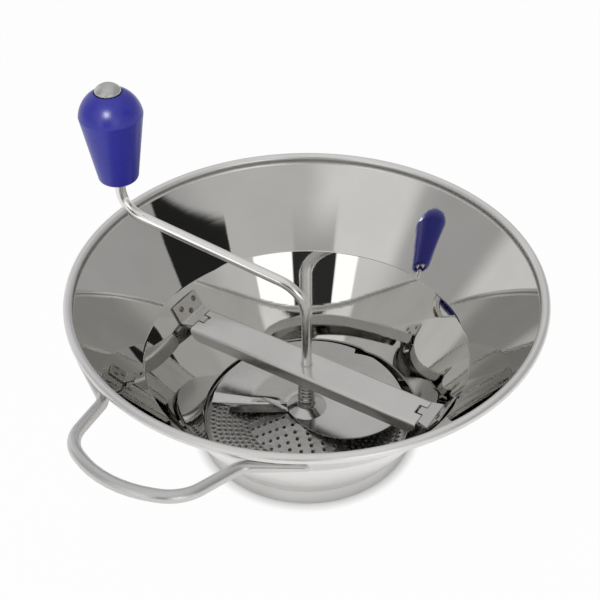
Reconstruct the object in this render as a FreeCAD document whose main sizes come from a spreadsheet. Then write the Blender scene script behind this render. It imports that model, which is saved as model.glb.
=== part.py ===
"""Food mill: a flared steel bowl with a loop handle, a sieve disc, a crossbar held under two brackets,
and a sprung crank that turns a winding impeller plate over the sieve.

The frame: the origin is on the bowl's axis, at the plane that the bowl stands on. +Z is up, the crossbar
lies along X, and the handle points along -Y. Millimetres and degrees.
"""

import FreeCAD, Part
import Sketcher
import math
import os
import re
from FreeCAD import Placement, Rotation, Vector

# Driving sizes
SIZES = {
    # bowl, spun from one sheet
    "rim_radius": 155.0,
    "rim_height": 128.5,
    "bead_radius": 3.0,
    "bead_sheet": 1.1,
    "bead_join": 60.0,
    "bead_slit": 1.2,
    "slit_inset": 0.6,
    "wall_level": 1.4,
    "shoulder_radius": 109.6,
    "shoulder_height": 73.0,
    "shoulder_round": 12.0,
    "band_height": 12.4,
    "band_round": 2.0,
    "foot_radius": 75.0,
    "foot_round": 1.6,
    "ledge_sheet": 1.2,
    "lip_inset": 2.0,
    "lip_height": 5.2,
    # loop handle, bent from round rod
    "handle_rod": 7.5,
    "handle_level": 119.0,
    "handle_tail": 37.0,
    "handle_tail_angle": 25.5,
    "handle_reach": 41.0,
    "handle_corner_half": 39.0,
    "handle_end_drop": 17.5,
    "handle_tilt": 10.0,
    "handle_root_bend": 12.0,
    "handle_corner_bend": 26.0,
    "handle_end_bend": 60.0,
    "handle_wall_gap": 0.1,
    "weld_length": 24.0,
    "weld_width": 2.6,
    "weld_rise": 2.6,
    "weld_off": 0.6,
    # sieve disc, pressed and perforated
    "disc_sheet": 1.0,
    "disc_side_gap": 1.0,
    "disc_seat_gap": 0.1,
    "disc_collar_flare": 0.4,
    "disc_collar_rise": 3.8,
    "cone_radius": 41.5,
    "crown_radius": 16.5,
    "crown_rise": 9.0,
    "pivot_clearance": 0.3,
    "hole_radius": 1.25,
    "flat_ring_inset": 2.1,
    "flat_ring_step": 3.85,
    "flat_hole_pitch": 4.2,
    "flat_plain": 4.5,
    "cone_ring_inset": 2.4,
    "cone_ring_step": 4.3,
    # crossbar, folded from sheet
    "bar_top": 58.0,
    "bar_sheet": 1.5,
    "bar_width": 25.6,
    "bar_end_gap": 11.09,
    "bar_flange": 9.5,
    "bar_bend": 2.4,
    "flange_end_round": 7.5,
    "notch_width": 8.4,
    "notch_depth": 5.5,
    "prong_reach": 6.6,
    "prong_root": 11.0,
    "prong_half": 9.6,
    "prong_gap": 0.2,
    # brackets, folded from sheet
    "bracket_sheet": 1.5,
    "bracket_half": 12.6,
    "bracket_shift": 1.2,
    "bracket_gap": 0.18,
    "plate_rise": 11.2,
    "tab_lift": 0.2,
    "tab_gap": 0.6,
    "tab_half": 10.4,
    "tongue_half": 3.2,
    "tongue_reach": 4.2,
    "bracket_bend": 2.2,
    "spot_radius": 2.9,
    "spot_rise": 0.45,
    "spot_bite": 0.3,
    # crank, bent from round bar
    "rod": 7.0,
    "rod_below": 5.3,
    "crank_throw": 128.4,
    "crank_azimuth": 192.2,
    "crank_corner": 120.0,
    "crank_rise": 16.2,
    "crank_low_bend": 25.0,
    "crank_high_bend": 20.0,
    # impeller plate and its hub
    "blade_rim_gap": 1.6,
    "blade_sheet": 1.2,
    "blade_clearance": 0.55,
    "blade_cone_shift": 1.0,
    "blade_crown_gap": 0.9,
    "blade_edge_azimuth": 200.0,
    "blade_flat_azimuth": 90.0,
    "lobe_radius": 43.5,
    "lobe_x": 17.4,
    "lobe_y": 25.0,
    "lip_width": 6.5,
    "lip_share": 0.34,
    "blade_eye": 8.0,
    "hub_foot": 18.0,
    "hub_crown": 7.0,
    "hub_edge": 0.8,
    "hub_rise": 3.4,
    "hub_pin": 2.4,
    "hub_pin_length": 14.0,
    # spring, its washers and the bush in the bar
    "running_gap": 0.05,
    "thrust_gap": 0.3,
    "washer_sheet": 1.0,
    "washer_margin": 0.7,
    "washer_play": 0.35,
    "bush_wall": 1.05,
    "bush_flange_reach": 2.6,
    "bush_flange": 1.2,
    "bush_proud": 0.3,
    "spring_wire": 1.5,
    "spring_play": 0.45,
    "spring_flare": 1.05,
    "spring_turns": 9.5,
    "spring_end_gap": 0.1,
    # knob and what holds it on the rod
    "knob_gap": 8.7,
    "knob_foot": 12.7,
    "knob_wide": 20.25,
    "knob_taper": 44.2,
    "knob_foot_round": 3.0,
    "sleeve_wall": 1.5,
    "stop_wall": 2.5,
    "stop_thickness": 2.0,
    "stop_inset": 1.6,
    "stop_side_gap": 0.5,
    "stop_end_gap": 0.4,
    "cap_radius": 8.25,
    "cap_edge": 1.6,
    "cap_dome": 5.0,
    "cap_side_gap": 0.75,
    "cap_inset": 3.8,
    "cap_end_gap": 0.4,
    "cap_socket": 2.6,
}

# Sizes and places that follow from the driving ones, in an order in which each uses only those above it
FITS = {
    "bead_centre": "rim_radius - bead_radius",
    "bead_middle": "bead_radius - bead_sheet / 2",
    "flare_top": "rim_height - bead_middle * sin(bead_join)",
    "flare_out": "bead_centre - bead_middle * cos(bead_join)",
    "flare_slope": "(flare_out - shoulder_radius) / (flare_top - shoulder_height)",
    "wall_slope": "(shoulder_radius + wall_level - foot_radius) / (shoulder_height - band_height)",
    "tail_clear": "handle_rod / 2 + handle_wall_gap",
    "tail_wall": "shoulder_radius + wall_level + flare_slope * (handle_level - shoulder_height)",
    "tail_radius": "tail_wall + tail_clear * sqrt(1 + flare_slope ^ 2)",
    "disc_edge": "foot_radius - wall_level - disc_side_gap - disc_sheet",
    "lip_radius": "disc_edge - lip_inset",
    "disc_low": "lip_height + disc_seat_gap",
    "disc_top": "disc_low + disc_sheet",
    "collar_top": "disc_top + disc_collar_rise",
    "crown_top": "disc_top + crown_rise",
    "pivot_radius": "rod / 2 + pivot_clearance",
    "bar_under": "bar_top - bar_sheet",
    "bar_foot": "bar_top - bar_flange",
    "bar_half": "shoulder_radius - (shoulder_height - bar_top) * wall_slope - bar_end_gap",
    "tab_top": "bar_top + tab_lift",
    "tab_low": "tab_top - bracket_sheet",
    "tab_inner": "bar_half + tab_gap",
    "prong_top": "tab_low - prong_gap",
    "prong_end": "bar_half + prong_reach",
    "plate_top": "tab_top + plate_rise",
    "plate_wall": "shoulder_radius - (shoulder_height - tab_low) * wall_slope",
    "plate_bow": "plate_wall - sqrt(plate_wall ^ 2 - (bracket_half + bracket_shift) ^ 2)",
    "plate_stand_off": "plate_bow + bracket_gap",
    "plate_across": "bracket_sheet * sqrt(1 + wall_slope ^ 2)",
    "spot_behind": "bracket_sheet + plate_stand_off / sqrt(1 + wall_slope ^ 2) + spot_bite",
    "spot_half": "(spot_rise + spot_behind) / 2",
    "bush_inner": "rod / 2 + running_gap",
    "bush_outer": "bush_inner + bush_wall",
    "bush_flange_radius": "bush_outer + bush_flange_reach",
    "bush_low": "bar_under - bush_flange",
    "blade_radius": "disc_edge - blade_rim_gap",
    "blade_low": "crown_top + blade_crown_gap",
    "blade_top": "blade_low + blade_sheet",
    "hub_shoulder": "blade_top + hub_edge",
    "hub_top": "hub_shoulder + hub_rise",
    "pin_height": "hub_shoulder + hub_rise / 4",
    "rod_foot": "crown_top - disc_sheet - rod_below",
    "seat_low": "hub_top + thrust_gap",
    "seat_top": "seat_low + washer_sheet",
    "washer_top": "bush_low - spring_end_gap",
    "washer_low": "washer_top - washer_sheet",
    "washer_bore": "rod / 2 + washer_play",
    "spring_high_radius": "rod / 2 + spring_play + spring_wire / 2",
    "spring_low_radius": "spring_high_radius + spring_flare",
    "washer_radius": "spring_low_radius + spring_wire / 2 + washer_margin",
    "low_bend_start": "crank_corner - crank_low_bend * tan(45 - crank_rise / 2)",
    "high_corner": "crank_corner + crank_throw * tan(crank_rise)",
    "high_bend_end": "high_corner + crank_high_bend * tan(45 - crank_rise / 2)",
    "knob_low": "high_bend_end + knob_gap",
    "knob_top": "knob_low + knob_taper + knob_wide",
    "knob_x": "crank_throw * cos(crank_azimuth)",
    "knob_y": "crank_throw * sin(crank_azimuth)",
    "stop_radius": "rod / 2 + stop_wall",
    "stop_low": "knob_low + stop_inset",
    "stop_top": "stop_low + stop_thickness",
    "sleeve_low": "stop_top + stop_end_gap",
    "sleeve_outer": "bush_inner + sleeve_wall",
    "recess_floor": "knob_top - cap_inset",
    "recess_radius": "cap_radius + cap_side_gap",
    "cap_low": "recess_floor + cap_end_gap",
    "rod_top": "cap_low + cap_socket",
}

# The first ring of holes on the sieve's cone, and how many more each next ring has
CONE_HOLES_FIRST = 12
CONE_HOLES_MORE = 4
# Each bracket's spot welds: along Y, and up from the bar's top
SPOT_PLACES = ((8.9, 7.7), (-5.4, 7.4), (1.7, 2.6))

X_AXIS = Vector(1, 0, 0)
Y_AXIS = Vector(0, 1, 0)
Z_AXIS = Vector(0, 0, 1)
NEAR = 0.01

doc = FreeCAD.newDocument("food_mill")


def new_sheet(name, rows):
    """A spreadsheet with a word and its content on each row, the word being the content's alias."""
    sheet = doc.addObject("Spreadsheet::Sheet", name)
    for row, (word, content) in enumerate(rows.items(), start=1):
        sheet.set(f"A{row}", word)
        sheet.set(f"B{row}", str(content))
        sheet.setAlias(f"B{row}", word)
    doc.recompute()
    return sheet


def with_sheet(text, name, words):
    """An expression in which each of the words names its cell in a sheet."""
    return re.sub(r"[a-z_]+", lambda found: f"{name}.{found[0]}" if found[0] in words else found[0], text)


size_sheet = new_sheet("Sizes", SIZES)
fit_sheet = new_sheet("Fits", {word: "=" + with_sheet(text, "Sizes", SIZES) for word, text in FITS.items()})


def size(word):
    """A driving size, or one that follows from them, read back from its sheet."""
    return float((size_sheet if word in SIZES else fit_sheet).get(word))


def cells(text):
    """An expression in which each size names its cell."""
    return with_sheet(with_sheet(text, "Sizes", SIZES), "Fits", FITS)


def bind(item, **expressions):
    """Tie properties of an object to the sheets; a double underscore stands for a dot."""
    for name, text in expressions.items():
        item.setExpression(name.replace("__", "."), cells(text))
    return item


def origin_part(body, role):
    return next(part for part in body.Origin.OriginFeatures if part.Role == role)


def new_body(label):
    body = doc.addObject("PartDesign::Body", label)
    body.Label = label
    return body


def sketch_on(body, name, role):
    """An empty sketch on one of the body's own origin planes."""
    sketch = body.newObject("Sketcher::SketchObject", name)
    sketch.AttachmentSupport = [(origin_part(body, role), "")]
    sketch.MapMode = "FlatFace"
    return sketch


def hold(sketch, text, *constraint):
    """A dimension of a sketch, tied to an expression."""
    index = sketch.addConstraint(Sketcher.Constraint(*constraint))
    sketch.setExpression(f"Constraints[{index}]", cells(text))


def pin_point(sketch, piece, end, across, along, start):
    """Hold one end of a sketch line, or a circle's centre, at two expressions."""
    hold(sketch, across, "DistanceX", -1, 1, piece, end, start.x)
    hold(sketch, along, "DistanceY", -1, 1, piece, end, start.y)


def outline(sketch, corners, start_radius=50):
    """A closed ring of straight edges with its corners at pairs of expressions. The edges start as an
    even ring of any size, and the constraints pull each corner to its place."""
    first = sketch.GeometryCount
    count = len(corners)
    ring = [polar(start_radius, 360 * i / count) for i in range(count)]
    edges = [Part.LineSegment(ring[i], ring[(i + 1) % count]) for i in range(count)]
    sketch.addGeometry(edges, False)
    for i in range(count):
        joined = Sketcher.Constraint("Coincident", first + i, 2, first + (i + 1) % count, 1)
        sketch.addConstraint(joined)
    for i, (across, along) in enumerate(corners):
        pin_point(sketch, first + i, 1, across, along, ring[i])
    return sketch


def circle(sketch, across, along, radius):
    """A circle with its centre and radius at expressions."""
    start = Vector(1, 1, 0)
    piece = sketch.addGeometry(Part.Circle(start, Z_AXIS, 1.0), False)
    pin_point(sketch, piece, 3, across, along, start)
    hold(sketch, radius, "Radius", piece, 1.0)
    return sketch


def dome(body, name, low, radius, rise):
    """A solid cap about the Z axis: flat below, round above. The height of its flat, the flat's radius and
    the rise of the round are words from the sheets."""
    sketch = sketch_on(body, name, "XZ_Plane")
    flat = Vector(0, size(low), 0)
    side = flat + X_AXIS * size(radius)
    top = flat + Y_AXIS * size(rise)
    bow = (size(radius) ** 2 + size(rise) ** 2) / (2 * size(rise))
    middle = top - Y_AXIS * bow
    start = math.atan2(side.y - middle.y, side.x)
    arc = Part.ArcOfCircle(Part.Circle(middle, Z_AXIS, bow), start, math.pi / 2)
    sketch.addGeometry([Part.LineSegment(flat, side), arc, Part.LineSegment(top, flat)], False)
    for one, one_end, other, other_end in ((0, 2, 1, 1), (1, 2, 2, 1), (2, 2, 0, 1)):
        sketch.addConstraint(Sketcher.Constraint("Coincident", one, one_end, other, other_end))
    sketch.addConstraint(Sketcher.Constraint("Horizontal", 0))
    sketch.addConstraint(Sketcher.Constraint("Vertical", 2))
    sketch.addConstraint(Sketcher.Constraint("PointOnObject", 1, 3, -2))
    pin_point(sketch, 0, 1, "0", low, flat)
    hold(sketch, radius, "DistanceX", -1, 1, 0, 2, side.x)
    hold(sketch, f"{low} + {rise}", "DistanceY", -1, 1, 2, 1, top.y)
    return turned(body, "Revolution", sketch)


def turned(body, kind, sketch):
    """A full revolution or groove of a sketch about the Z axis."""
    feature = body.newObject(f"PartDesign::{kind}", f"{sketch.Name}_turned")
    feature.Profile = sketch
    feature.ReferenceAxis = (sketch, ["V_Axis"])
    feature.Angle = 360
    return feature


def pad(body, sketch, length):
    """A pad to both sides of its sketch, of the given length in all."""
    feature = body.newObject("PartDesign::Pad", f"{sketch.Name}_pad")
    feature.Profile = sketch
    feature.SideType = "Symmetric"
    return bind(feature, Length=length)


def pocket(body, sketch):
    """A pocket through everything, to both sides of its sketch. It has to take something away."""
    doc.recompute()
    before = body.Shape.Volume
    feature = body.newObject("PartDesign::Pocket", f"{sketch.Name}_pocket")
    feature.Profile = sketch
    feature.SideType = "Symmetric"
    feature.Type = "ThroughAll"
    doc.recompute()
    if not body.Shape.Volume < before:
        raise ValueError(f"{feature.Name} takes nothing away")
    return feature


def rounded(body, base, radius, wanted):
    """A fillet on the edges of the base feature that a test picks."""
    doc.recompute()
    names = [f"Edge{i}" for i, edge in enumerate(base.Shape.Edges, start=1) if wanted(edge)]
    if not names:
        raise ValueError(f"no edge of {base.Name} to round")
    feature = body.newObject("PartDesign::Fillet", f"{base.Name}_round")
    feature.Base = (base, names)
    return bind(feature, Radius=radius)


def round_edge_at(height, *radii):
    """A test for a full circle about the Z axis at this height, with one of these radii."""

    def wanted(edge):
        if edge.Degenerated or not isinstance(edge.Curve, Part.Circle):
            return False
        curve = edge.Curve
        return abs(curve.Center.z - height) < NEAR and min(abs(curve.Radius - r) for r in radii) < NEAR

    return wanted


def edge_along(direction, test):
    """A test for a straight edge along a direction whose middle passes a second test."""

    def wanted(edge):
        if edge.Degenerated or not isinstance(edge.Curve, Part.Line):
            return False
        return abs(edge.Curve.Direction.dot(direction)) > 1 - NEAR and test(edge.CenterOfMass)

    return wanted


def ring(label, inner, outer, low, high):
    """A flat ring about the Z axis, as a cylinder less its bore, from four words or expressions."""
    solid = bind(doc.addObject("Part::Cylinder", f"{label}_blank"), Radius=outer)
    bore = bind(doc.addObject("Part::Cylinder", f"{label}_bore"), Radius=inner)
    for cylinder in (solid, bore):
        bind(cylinder, Height=f"{high} - {low}", Placement__Base__z=low)
    cut = doc.addObject("Part::Cut", label)
    cut.Base = solid
    cut.Tool = bore
    cut.Label = label
    return cut


def put(item, x="0", y="0", z="0", turn="0"):
    """Place an object at expressions, turned about Z by degrees."""
    item.Placement = Placement(Vector(0, 0, 0), Rotation(Z_AXIS, 1))
    return bind(
        item,
        Placement__Base__x=x,
        Placement__Base__y=y,
        Placement__Base__z=z,
        Placement__Rotation__Angle=f"({turn}) * 1 deg",
    )


def polar(radius, degrees, height=0.0):
    angle = math.radians(degrees)
    return Vector(radius * math.cos(angle), radius * math.sin(angle), height)


# Bowl: the sheet is turned from a profile with a soft shoulder between its flare and its steeper cone, and an
# upright band below that ends in a ledge with an upturned lip. Then it gets the hollow rolled bead, left open by
# a narrow slit under the rim where the sheet's edge stops short of the wall.
def make_bowl():
    body = new_body("bowl_shell")
    profile = outline(
        sketch_on(body, "bowl_profile", "XZ_Plane"),
        [
            ("flare_out", "flare_top"),
            ("shoulder_radius", "shoulder_height"),
            ("foot_radius - wall_level", "band_height"),
            ("foot_radius - wall_level", "ledge_sheet"),
            ("lip_radius + ledge_sheet", "ledge_sheet"),
            ("lip_radius + ledge_sheet", "lip_height"),
            ("lip_radius", "lip_height"),
            ("lip_radius", "0"),
            ("foot_radius", "0"),
            ("foot_radius", "band_height"),
            ("shoulder_radius + wall_level", "shoulder_height"),
            ("flare_out + wall_level", "flare_top"),
        ],
    )
    sheet = turned(body, "Revolution", profile)
    inside = round_edge_at(size("shoulder_height"), size("shoulder_radius"))
    softened = rounded(body, sheet, "shoulder_round", inside)
    outside = round_edge_at(size("shoulder_height"), size("shoulder_radius") + size("wall_level"))
    followed = rounded(body, softened, "shoulder_round - ledge_sheet", outside)
    bent = round_edge_at(size("band_height"), size("foot_radius"))
    banded = rounded(body, followed, "band_round", bent)
    rounded(body, banded, "foot_round", round_edge_at(0, size("foot_radius")))
    bead = sketch_on(body, "bead_profile", "XZ_Plane")
    circle(bead, "bead_centre", "rim_height", "bead_radius")
    circle(bead, "bead_centre", "rim_height", "bead_radius - bead_sheet")
    turned(body, "Revolution", bead)
    slit_in = "bead_centre + slit_inset"
    slit = outline(
        sketch_on(body, "slit_profile", "XZ_Plane"),
        [
            (slit_in, "rim_height - bead_sheet"),
            (f"{slit_in} + bead_slit", "rim_height - bead_sheet"),
            (f"{slit_in} + bead_slit", "rim_height - bead_radius"),
            (slit_in, "rim_height - bead_radius"),
        ],
    )
    turned(body, "Groove", slit)
    return body


# Handle: a round rod through straight runs and tangent arcs, welded along the outside of the flare.
def rounded_route(corners, radii):
    """A wire of straight runs through the corners, with an arc of its own radius at each inner one."""
    edges = []
    start = corners[0]
    for before, corner, after, radius in zip(corners, corners[1:], corners[2:], radii):
        towards = (before - corner).normalize()
        away = (after - corner).normalize()
        half = towards.getAngle(away) / 2
        bisector = (towards + away).normalize()
        first = corner + towards * (radius / math.tan(half))
        last = corner + away * (radius / math.tan(half))
        middle = corner + bisector * (radius / math.sin(half) - radius)
        edges.append(Part.LineSegment(start, first).toShape())
        edges.append(Part.Arc(first, middle, last).toShape())
        start = last
    edges.append(Part.LineSegment(start, corners[-1]).toShape())
    return Part.Wire(edges)


def tube(route, radius):
    """A solid round rod along a wire."""
    start = route.Edges[0]
    place = start.valueAt(start.FirstParameter)
    along = start.tangentAt(start.FirstParameter)
    section = Part.Wire(Part.Circle(place, along, radius).toShape())
    return route.makePipeShell([section], True, False)


def tail_ends():
    """The right tail's free end and the corner where it leaves the wall."""
    azimuth = size("handle_tail_angle") - 90
    middle = polar(size("tail_radius"), azimuth, size("handle_level"))
    along = polar(size("handle_tail") / 2, azimuth + 90)
    return middle + along, middle - along


def make_handle():
    tip, root = tail_ends()
    rise = math.tan(math.radians(size("handle_tilt")))
    reach = size("handle_reach")
    drop = size("handle_end_drop")
    corner = Vector(size("handle_corner_half"), root.y - reach, root.z + rise * reach)
    end = Vector(0, corner.y - drop, corner.z + rise * drop)
    right = [tip, root, corner]
    left = [Vector(-p.x, p.y, p.z) for p in reversed(right)]
    bends = [size("handle_root_bend"), size("handle_corner_bend"), size("handle_end_bend")]
    route = rounded_route(right + [end] + left, bends + bends[1::-1])
    handle = doc.addObject("Part::Feature", "handle_loop")
    handle.Shape = tube(route, size("handle_rod") / 2)
    return handle


def make_handle_weld(label, side):
    """A long bead in the corner between the top of a tail and the wall."""
    tip, root = tail_ends()
    middle = (tip + root) * 0.5
    outward = Vector(middle.x, middle.y, 0).normalize()
    lean = math.atan(size("flare_slope"))
    off_wall = outward * math.cos(lean) - Z_AXIS * math.sin(lean)
    up_wall = outward * math.sin(lean) + Z_AXIS * math.cos(lean)
    place = middle + off_wall * (size("weld_off") - size("tail_clear")) + up_wall * size("weld_rise")
    bead = doc.addObject("Part::Ellipsoid", label)
    bind(bead, Radius2="weld_length / 2", Radius1="weld_width / 2", Radius3="weld_width / 2")
    turn = Rotation(Z_AXIS, side * size("handle_tail_angle"))
    bead.Placement = Placement(Vector(side * place.x, place.y, place.z), turn)
    return bead


# Brackets: a plate along the bowl's middle cone, folded to a tab over the bar's end, with a narrow tongue.
def plate_back(height):
    """How far out the back of a bracket's plate is at a height, both as expressions."""
    return f"(shoulder_radius - (shoulder_height - {height}) * wall_slope - plate_stand_off)"


def make_bracket(label, sign):
    body = new_body(label)
    tongue_end = f"{sign}(tab_inner - tongue_reach)"
    fold = f"({plate_back('tab_top')} - plate_across)"
    side = outline(
        sketch_on(body, f"{label}_side", "XZ_Plane"),
        [
            (tongue_end, "tab_low"),
            (f"{sign}{plate_back('tab_low')}", "tab_low"),
            (f"{sign}{plate_back('plate_top')}", "plate_top"),
            (f"{sign}({plate_back('plate_top')} - plate_across)", "plate_top"),
            (f"{sign}{fold}", "tab_top"),
            (tongue_end, "tab_top"),
        ],
    )
    folded = pad(body, side, "2 * (bracket_half + bracket_shift)")
    low = size("tab_low")
    back = size("plate_wall") - size("plate_stand_off")
    bend = edge_along(Y_AXIS, lambda p: abs(p.z - low) < NEAR and abs(abs(p.x) - back) < NEAR)
    rounded(body, folded, "bracket_bend", bend)
    trim = sketch_on(body, f"{label}_trim", "XY_Plane")
    for edge in ("", "-"):
        tongue = f"bracket_shift + {edge}tongue_half"
        beyond = f"{edge}(2 * bracket_half)"
        outline(
            trim,
            [
                (f"{sign}(tab_inner - 2 * tongue_reach)", tongue),
                (f"{sign}tab_inner", tongue),
                (f"{sign}tab_inner", f"bracket_shift + {edge}tab_half"),
                (f"{sign}{fold}", f"bracket_shift + {edge}bracket_half"),
                (f"{sign}rim_radius", f"bracket_shift + {edge}bracket_half"),
                (f"{sign}rim_radius", beyond),
                (f"{sign}(tab_inner - 2 * tongue_reach)", beyond),
            ],
        )
    pocket(body, trim)
    return body


def make_spot_welds(label, side):
    """Three nuggets through a bracket's plate into the bowl, each a low dome on the plate's face."""
    slope = size("wall_slope")
    lean = math.atan(slope)
    inward = Vector(-math.cos(lean), 0, math.sin(lean))
    spots = []
    for y, up in SPOT_PLACES:
        height = size("bar_top") + up
        wall = size("shoulder_radius") - (size("shoulder_height") - height) * slope
        face = Vector(wall - size("plate_stand_off") - size("plate_across"), y, height)
        middle = face + inward * (size("spot_rise") - size("spot_half"))
        spot = doc.addObject("Part::Ellipsoid", f"{label}_nugget")
        bind(spot, Radius1="spot_half", Radius2="spot_radius", Radius3="spot_radius")
        turn = Rotation(Y_AXIS, side * (90 + math.degrees(lean)))
        spot.Placement = Placement(Vector(side * middle.x, middle.y, middle.z), turn)
        spots.append(spot)
    welds = doc.addObject("Part::Compound", label)
    welds.Links = spots
    return welds


# Sieve disc: a flat perforated zone, a perforated cone rising to a plain crown, and a turned-up collar.
def make_sieve():
    body = new_body("sieve_blank")
    profile = outline(
        sketch_on(body, "disc_profile", "XZ_Plane"),
        [
            ("pivot_radius", "crown_top - disc_sheet"),
            ("crown_radius", "crown_top - disc_sheet"),
            ("cone_radius", "disc_low"),
            ("disc_edge + disc_sheet", "disc_low"),
            ("disc_edge + disc_sheet + disc_collar_flare", "collar_top"),
            ("disc_edge + disc_collar_flare", "collar_top"),
            ("disc_edge", "disc_top"),
            ("cone_radius", "disc_top"),
            ("crown_radius", "crown_top"),
            ("pivot_radius", "crown_top"),
        ],
    )
    turned(body, "Revolution", profile)
    holes = doc.addObject("Part::Feature", "sieve_holes")
    holes.Shape = Part.makeCompound(sieve_hole_pins())
    sieve = doc.addObject("Part::Cut", "sieve_disc")
    sieve.Base = body
    sieve.Tool = holes
    return sieve


def ring_radii(first, last, step):
    """Radii a step apart, from the first to no more than the last."""
    return [first + step * place for place in range(math.floor((last - first) / step) + 1)]


def sieve_hole_pins():
    """One upright pin for each hole: even rings on the flat zone, and wider spaced ones on the cone. Each
    second ring is turned by half its spacing."""
    flat_first = size("cone_radius") + size("flat_ring_inset")
    flat_last = size("disc_edge") - size("flat_plain")
    cone_first = size("crown_radius") + size("cone_ring_inset")
    rings = []
    for place, radius in enumerate(ring_radii(flat_first, flat_last, size("flat_ring_step"))):
        rings.append((place, radius, math.floor(2 * math.pi * radius / size("flat_hole_pitch"))))
    for place, radius in enumerate(ring_radii(cone_first, size("cone_radius"), size("cone_ring_step"))):
        rings.append((place, radius, CONE_HOLES_FIRST + CONE_HOLES_MORE * place))
    pins = []
    for place, radius, count in rings:
        for number in range(count):
            foot = polar(radius, 360 * (number + 0.5 * (place % 2)) / count)
            pins.append(Part.makeCylinder(size("hole_radius"), size("blade_low"), foot))
    return pins


# Crossbar: an inverted channel with a rod hole, a notch in each end, and lower prongs under the brackets.
def make_crossbar():
    body = new_body("crossbar_channel")
    side = "bar_width / 2"
    section = outline(
        sketch_on(body, "bar_section", "YZ_Plane"),
        [
            (f"-{side}", "bar_foot"),
            (f"-{side}", "bar_top"),
            (side, "bar_top"),
            (side, "bar_foot"),
            (f"{side} - bar_sheet", "bar_foot"),
            (f"{side} - bar_sheet", "bar_under"),
            (f"bar_sheet - {side}", "bar_under"),
            (f"bar_sheet - {side}", "bar_foot"),
        ],
    )
    channel = pad(body, section, "2 * bar_half")
    top = size("bar_top")
    foot = size("bar_foot")
    half = size("bar_width") / 2
    bends = edge_along(X_AXIS, lambda p: abs(p.z - top) < NEAR and abs(abs(p.y) - half) < NEAR)
    bent = rounded(body, channel, "bar_bend", bends)
    flange_ends = edge_along(Y_AXIS, lambda p: abs(p.z - foot) < NEAR and abs(p.y) > half / 2)
    rounded(body, bent, "flange_end_round", flange_ends)
    for end, sign in (("right", ""), ("left", "-")):
        prong = outline(
            sketch_on(body, f"{end}_prong", "XZ_Plane"),
            [
                (f"{sign}(bar_half - prong_root)", "bar_under"),
                (f"{sign}prong_end", "prong_top"),
                (f"{sign}prong_end", "prong_top - bar_sheet"),
                (f"{sign}(bar_half - prong_root)", "bar_under - bar_sheet"),
            ],
        )
        pad(body, prong, "2 * prong_half")
    cuts = sketch_on(body, "bar_cuts", "XY_Plane")
    circle(cuts, "0", "0", "bush_outer")
    for sign in ("", "-"):
        near = "bracket_shift - notch_width / 2"
        far = "bracket_shift + notch_width / 2"
        inner = f"{sign}(bar_half - notch_depth)"
        outer = f"{sign}(prong_end + notch_depth)"
        outline(cuts, [(inner, near), (outer, near), (outer, far), (inner, far)])
    pocket(body, cuts)
    return body


def make_crossbar_bush():
    body = new_body("crossbar_bush")
    profile = outline(
        sketch_on(body, "bush_profile", "XZ_Plane"),
        [
            ("bush_inner", "bush_low"),
            ("bush_flange_radius", "bush_low"),
            ("bush_flange_radius", "bar_under"),
            ("bush_outer", "bar_under"),
            ("bush_outer", "bar_top + bush_proud"),
            ("bush_inner", "bar_top + bush_proud"),
        ],
    )
    turned(body, "Revolution", profile)
    return body


# Pressure spring: one conical coil of round wire, a quarter turn at a time, each as two tangent arcs.
def quarter_arcs(start, start_way, end, end_way):
    """Two arcs, tangent to each other, from one point and direction to another."""
    reach = end - start
    a = 2 * (start_way.dot(end_way) - 1)
    b = -2 * reach.dot(start_way + end_way)
    c = reach.dot(reach)
    handle = (-b - math.sqrt(b * b - 4 * a * c)) / (2 * a)
    middle = (start + start_way * handle + end - end_way * handle) * 0.5
    arcs = []
    for point, way in ((start, start_way), (end, end_way * -1)):
        chord = middle - point
        along = Vector(chord).normalize()
        side = (way - along * way.dot(along)).normalize()
        bulge = math.tan(way.getAngle(chord) / 2) * chord.Length / 2
        arcs.append(Part.Arc(point, point + chord * 0.5 + side * bulge, middle).toShape())
    return arcs


def make_spring():
    wire = size("spring_wire")
    ends = wire / 2 + size("spring_end_gap")
    low = size("seat_top") + ends
    whole = 2 * math.pi * size("spring_turns")
    climb = (size("washer_low") - ends - low) / whole
    narrowing = size("spring_flare") / whole

    def radius(angle):
        return size("spring_low_radius") - narrowing * angle

    def place(angle):
        return Vector(radius(angle) * math.cos(angle), radius(angle) * math.sin(angle), low + climb * angle)

    def way(angle):
        round_axis = Vector(-radius(angle) * math.sin(angle), radius(angle) * math.cos(angle), climb)
        inward = Vector(math.cos(angle), math.sin(angle), 0) * -narrowing
        return (round_axis + inward).normalize()

    edges = []
    quarters = round(4 * size("spring_turns"))
    for number in range(quarters):
        start = whole * number / quarters
        end = whole * (number + 1) / quarters
        edges += quarter_arcs(place(start), way(start), place(end), way(end))
    # each pair's second arc was drawn from its far end, so the wire sorts the edges' directions
    route = Part.Wire(Part.__sortEdges__(edges))
    section = Part.Wire(Part.Circle(place(0), way(0), wire / 2).toShape())
    spring = doc.addObject("Part::Feature", "pressure_spring")
    spring.Shape = route.makePipeShell([section], True, False)

    # the least gap of the wire to itself, between points at least half a turn apart
    steps = 720
    samples = [place(whole * step / steps) for step in range(steps + 1)]
    apart = round(steps / size("spring_turns") / 2)
    least = min(p.distanceToPoint(q) for i, p in enumerate(samples) for q in samples[i + apart :])
    print(f"spring: least gap to itself {least - wire:.2f} mm")
    full = math.pi * wire**2 / 4 * sum(edge.Length for edge in edges)
    print(f"spring: volume over section times length {spring.Shape.Volume / full:.4f}")
    return spring


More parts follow.
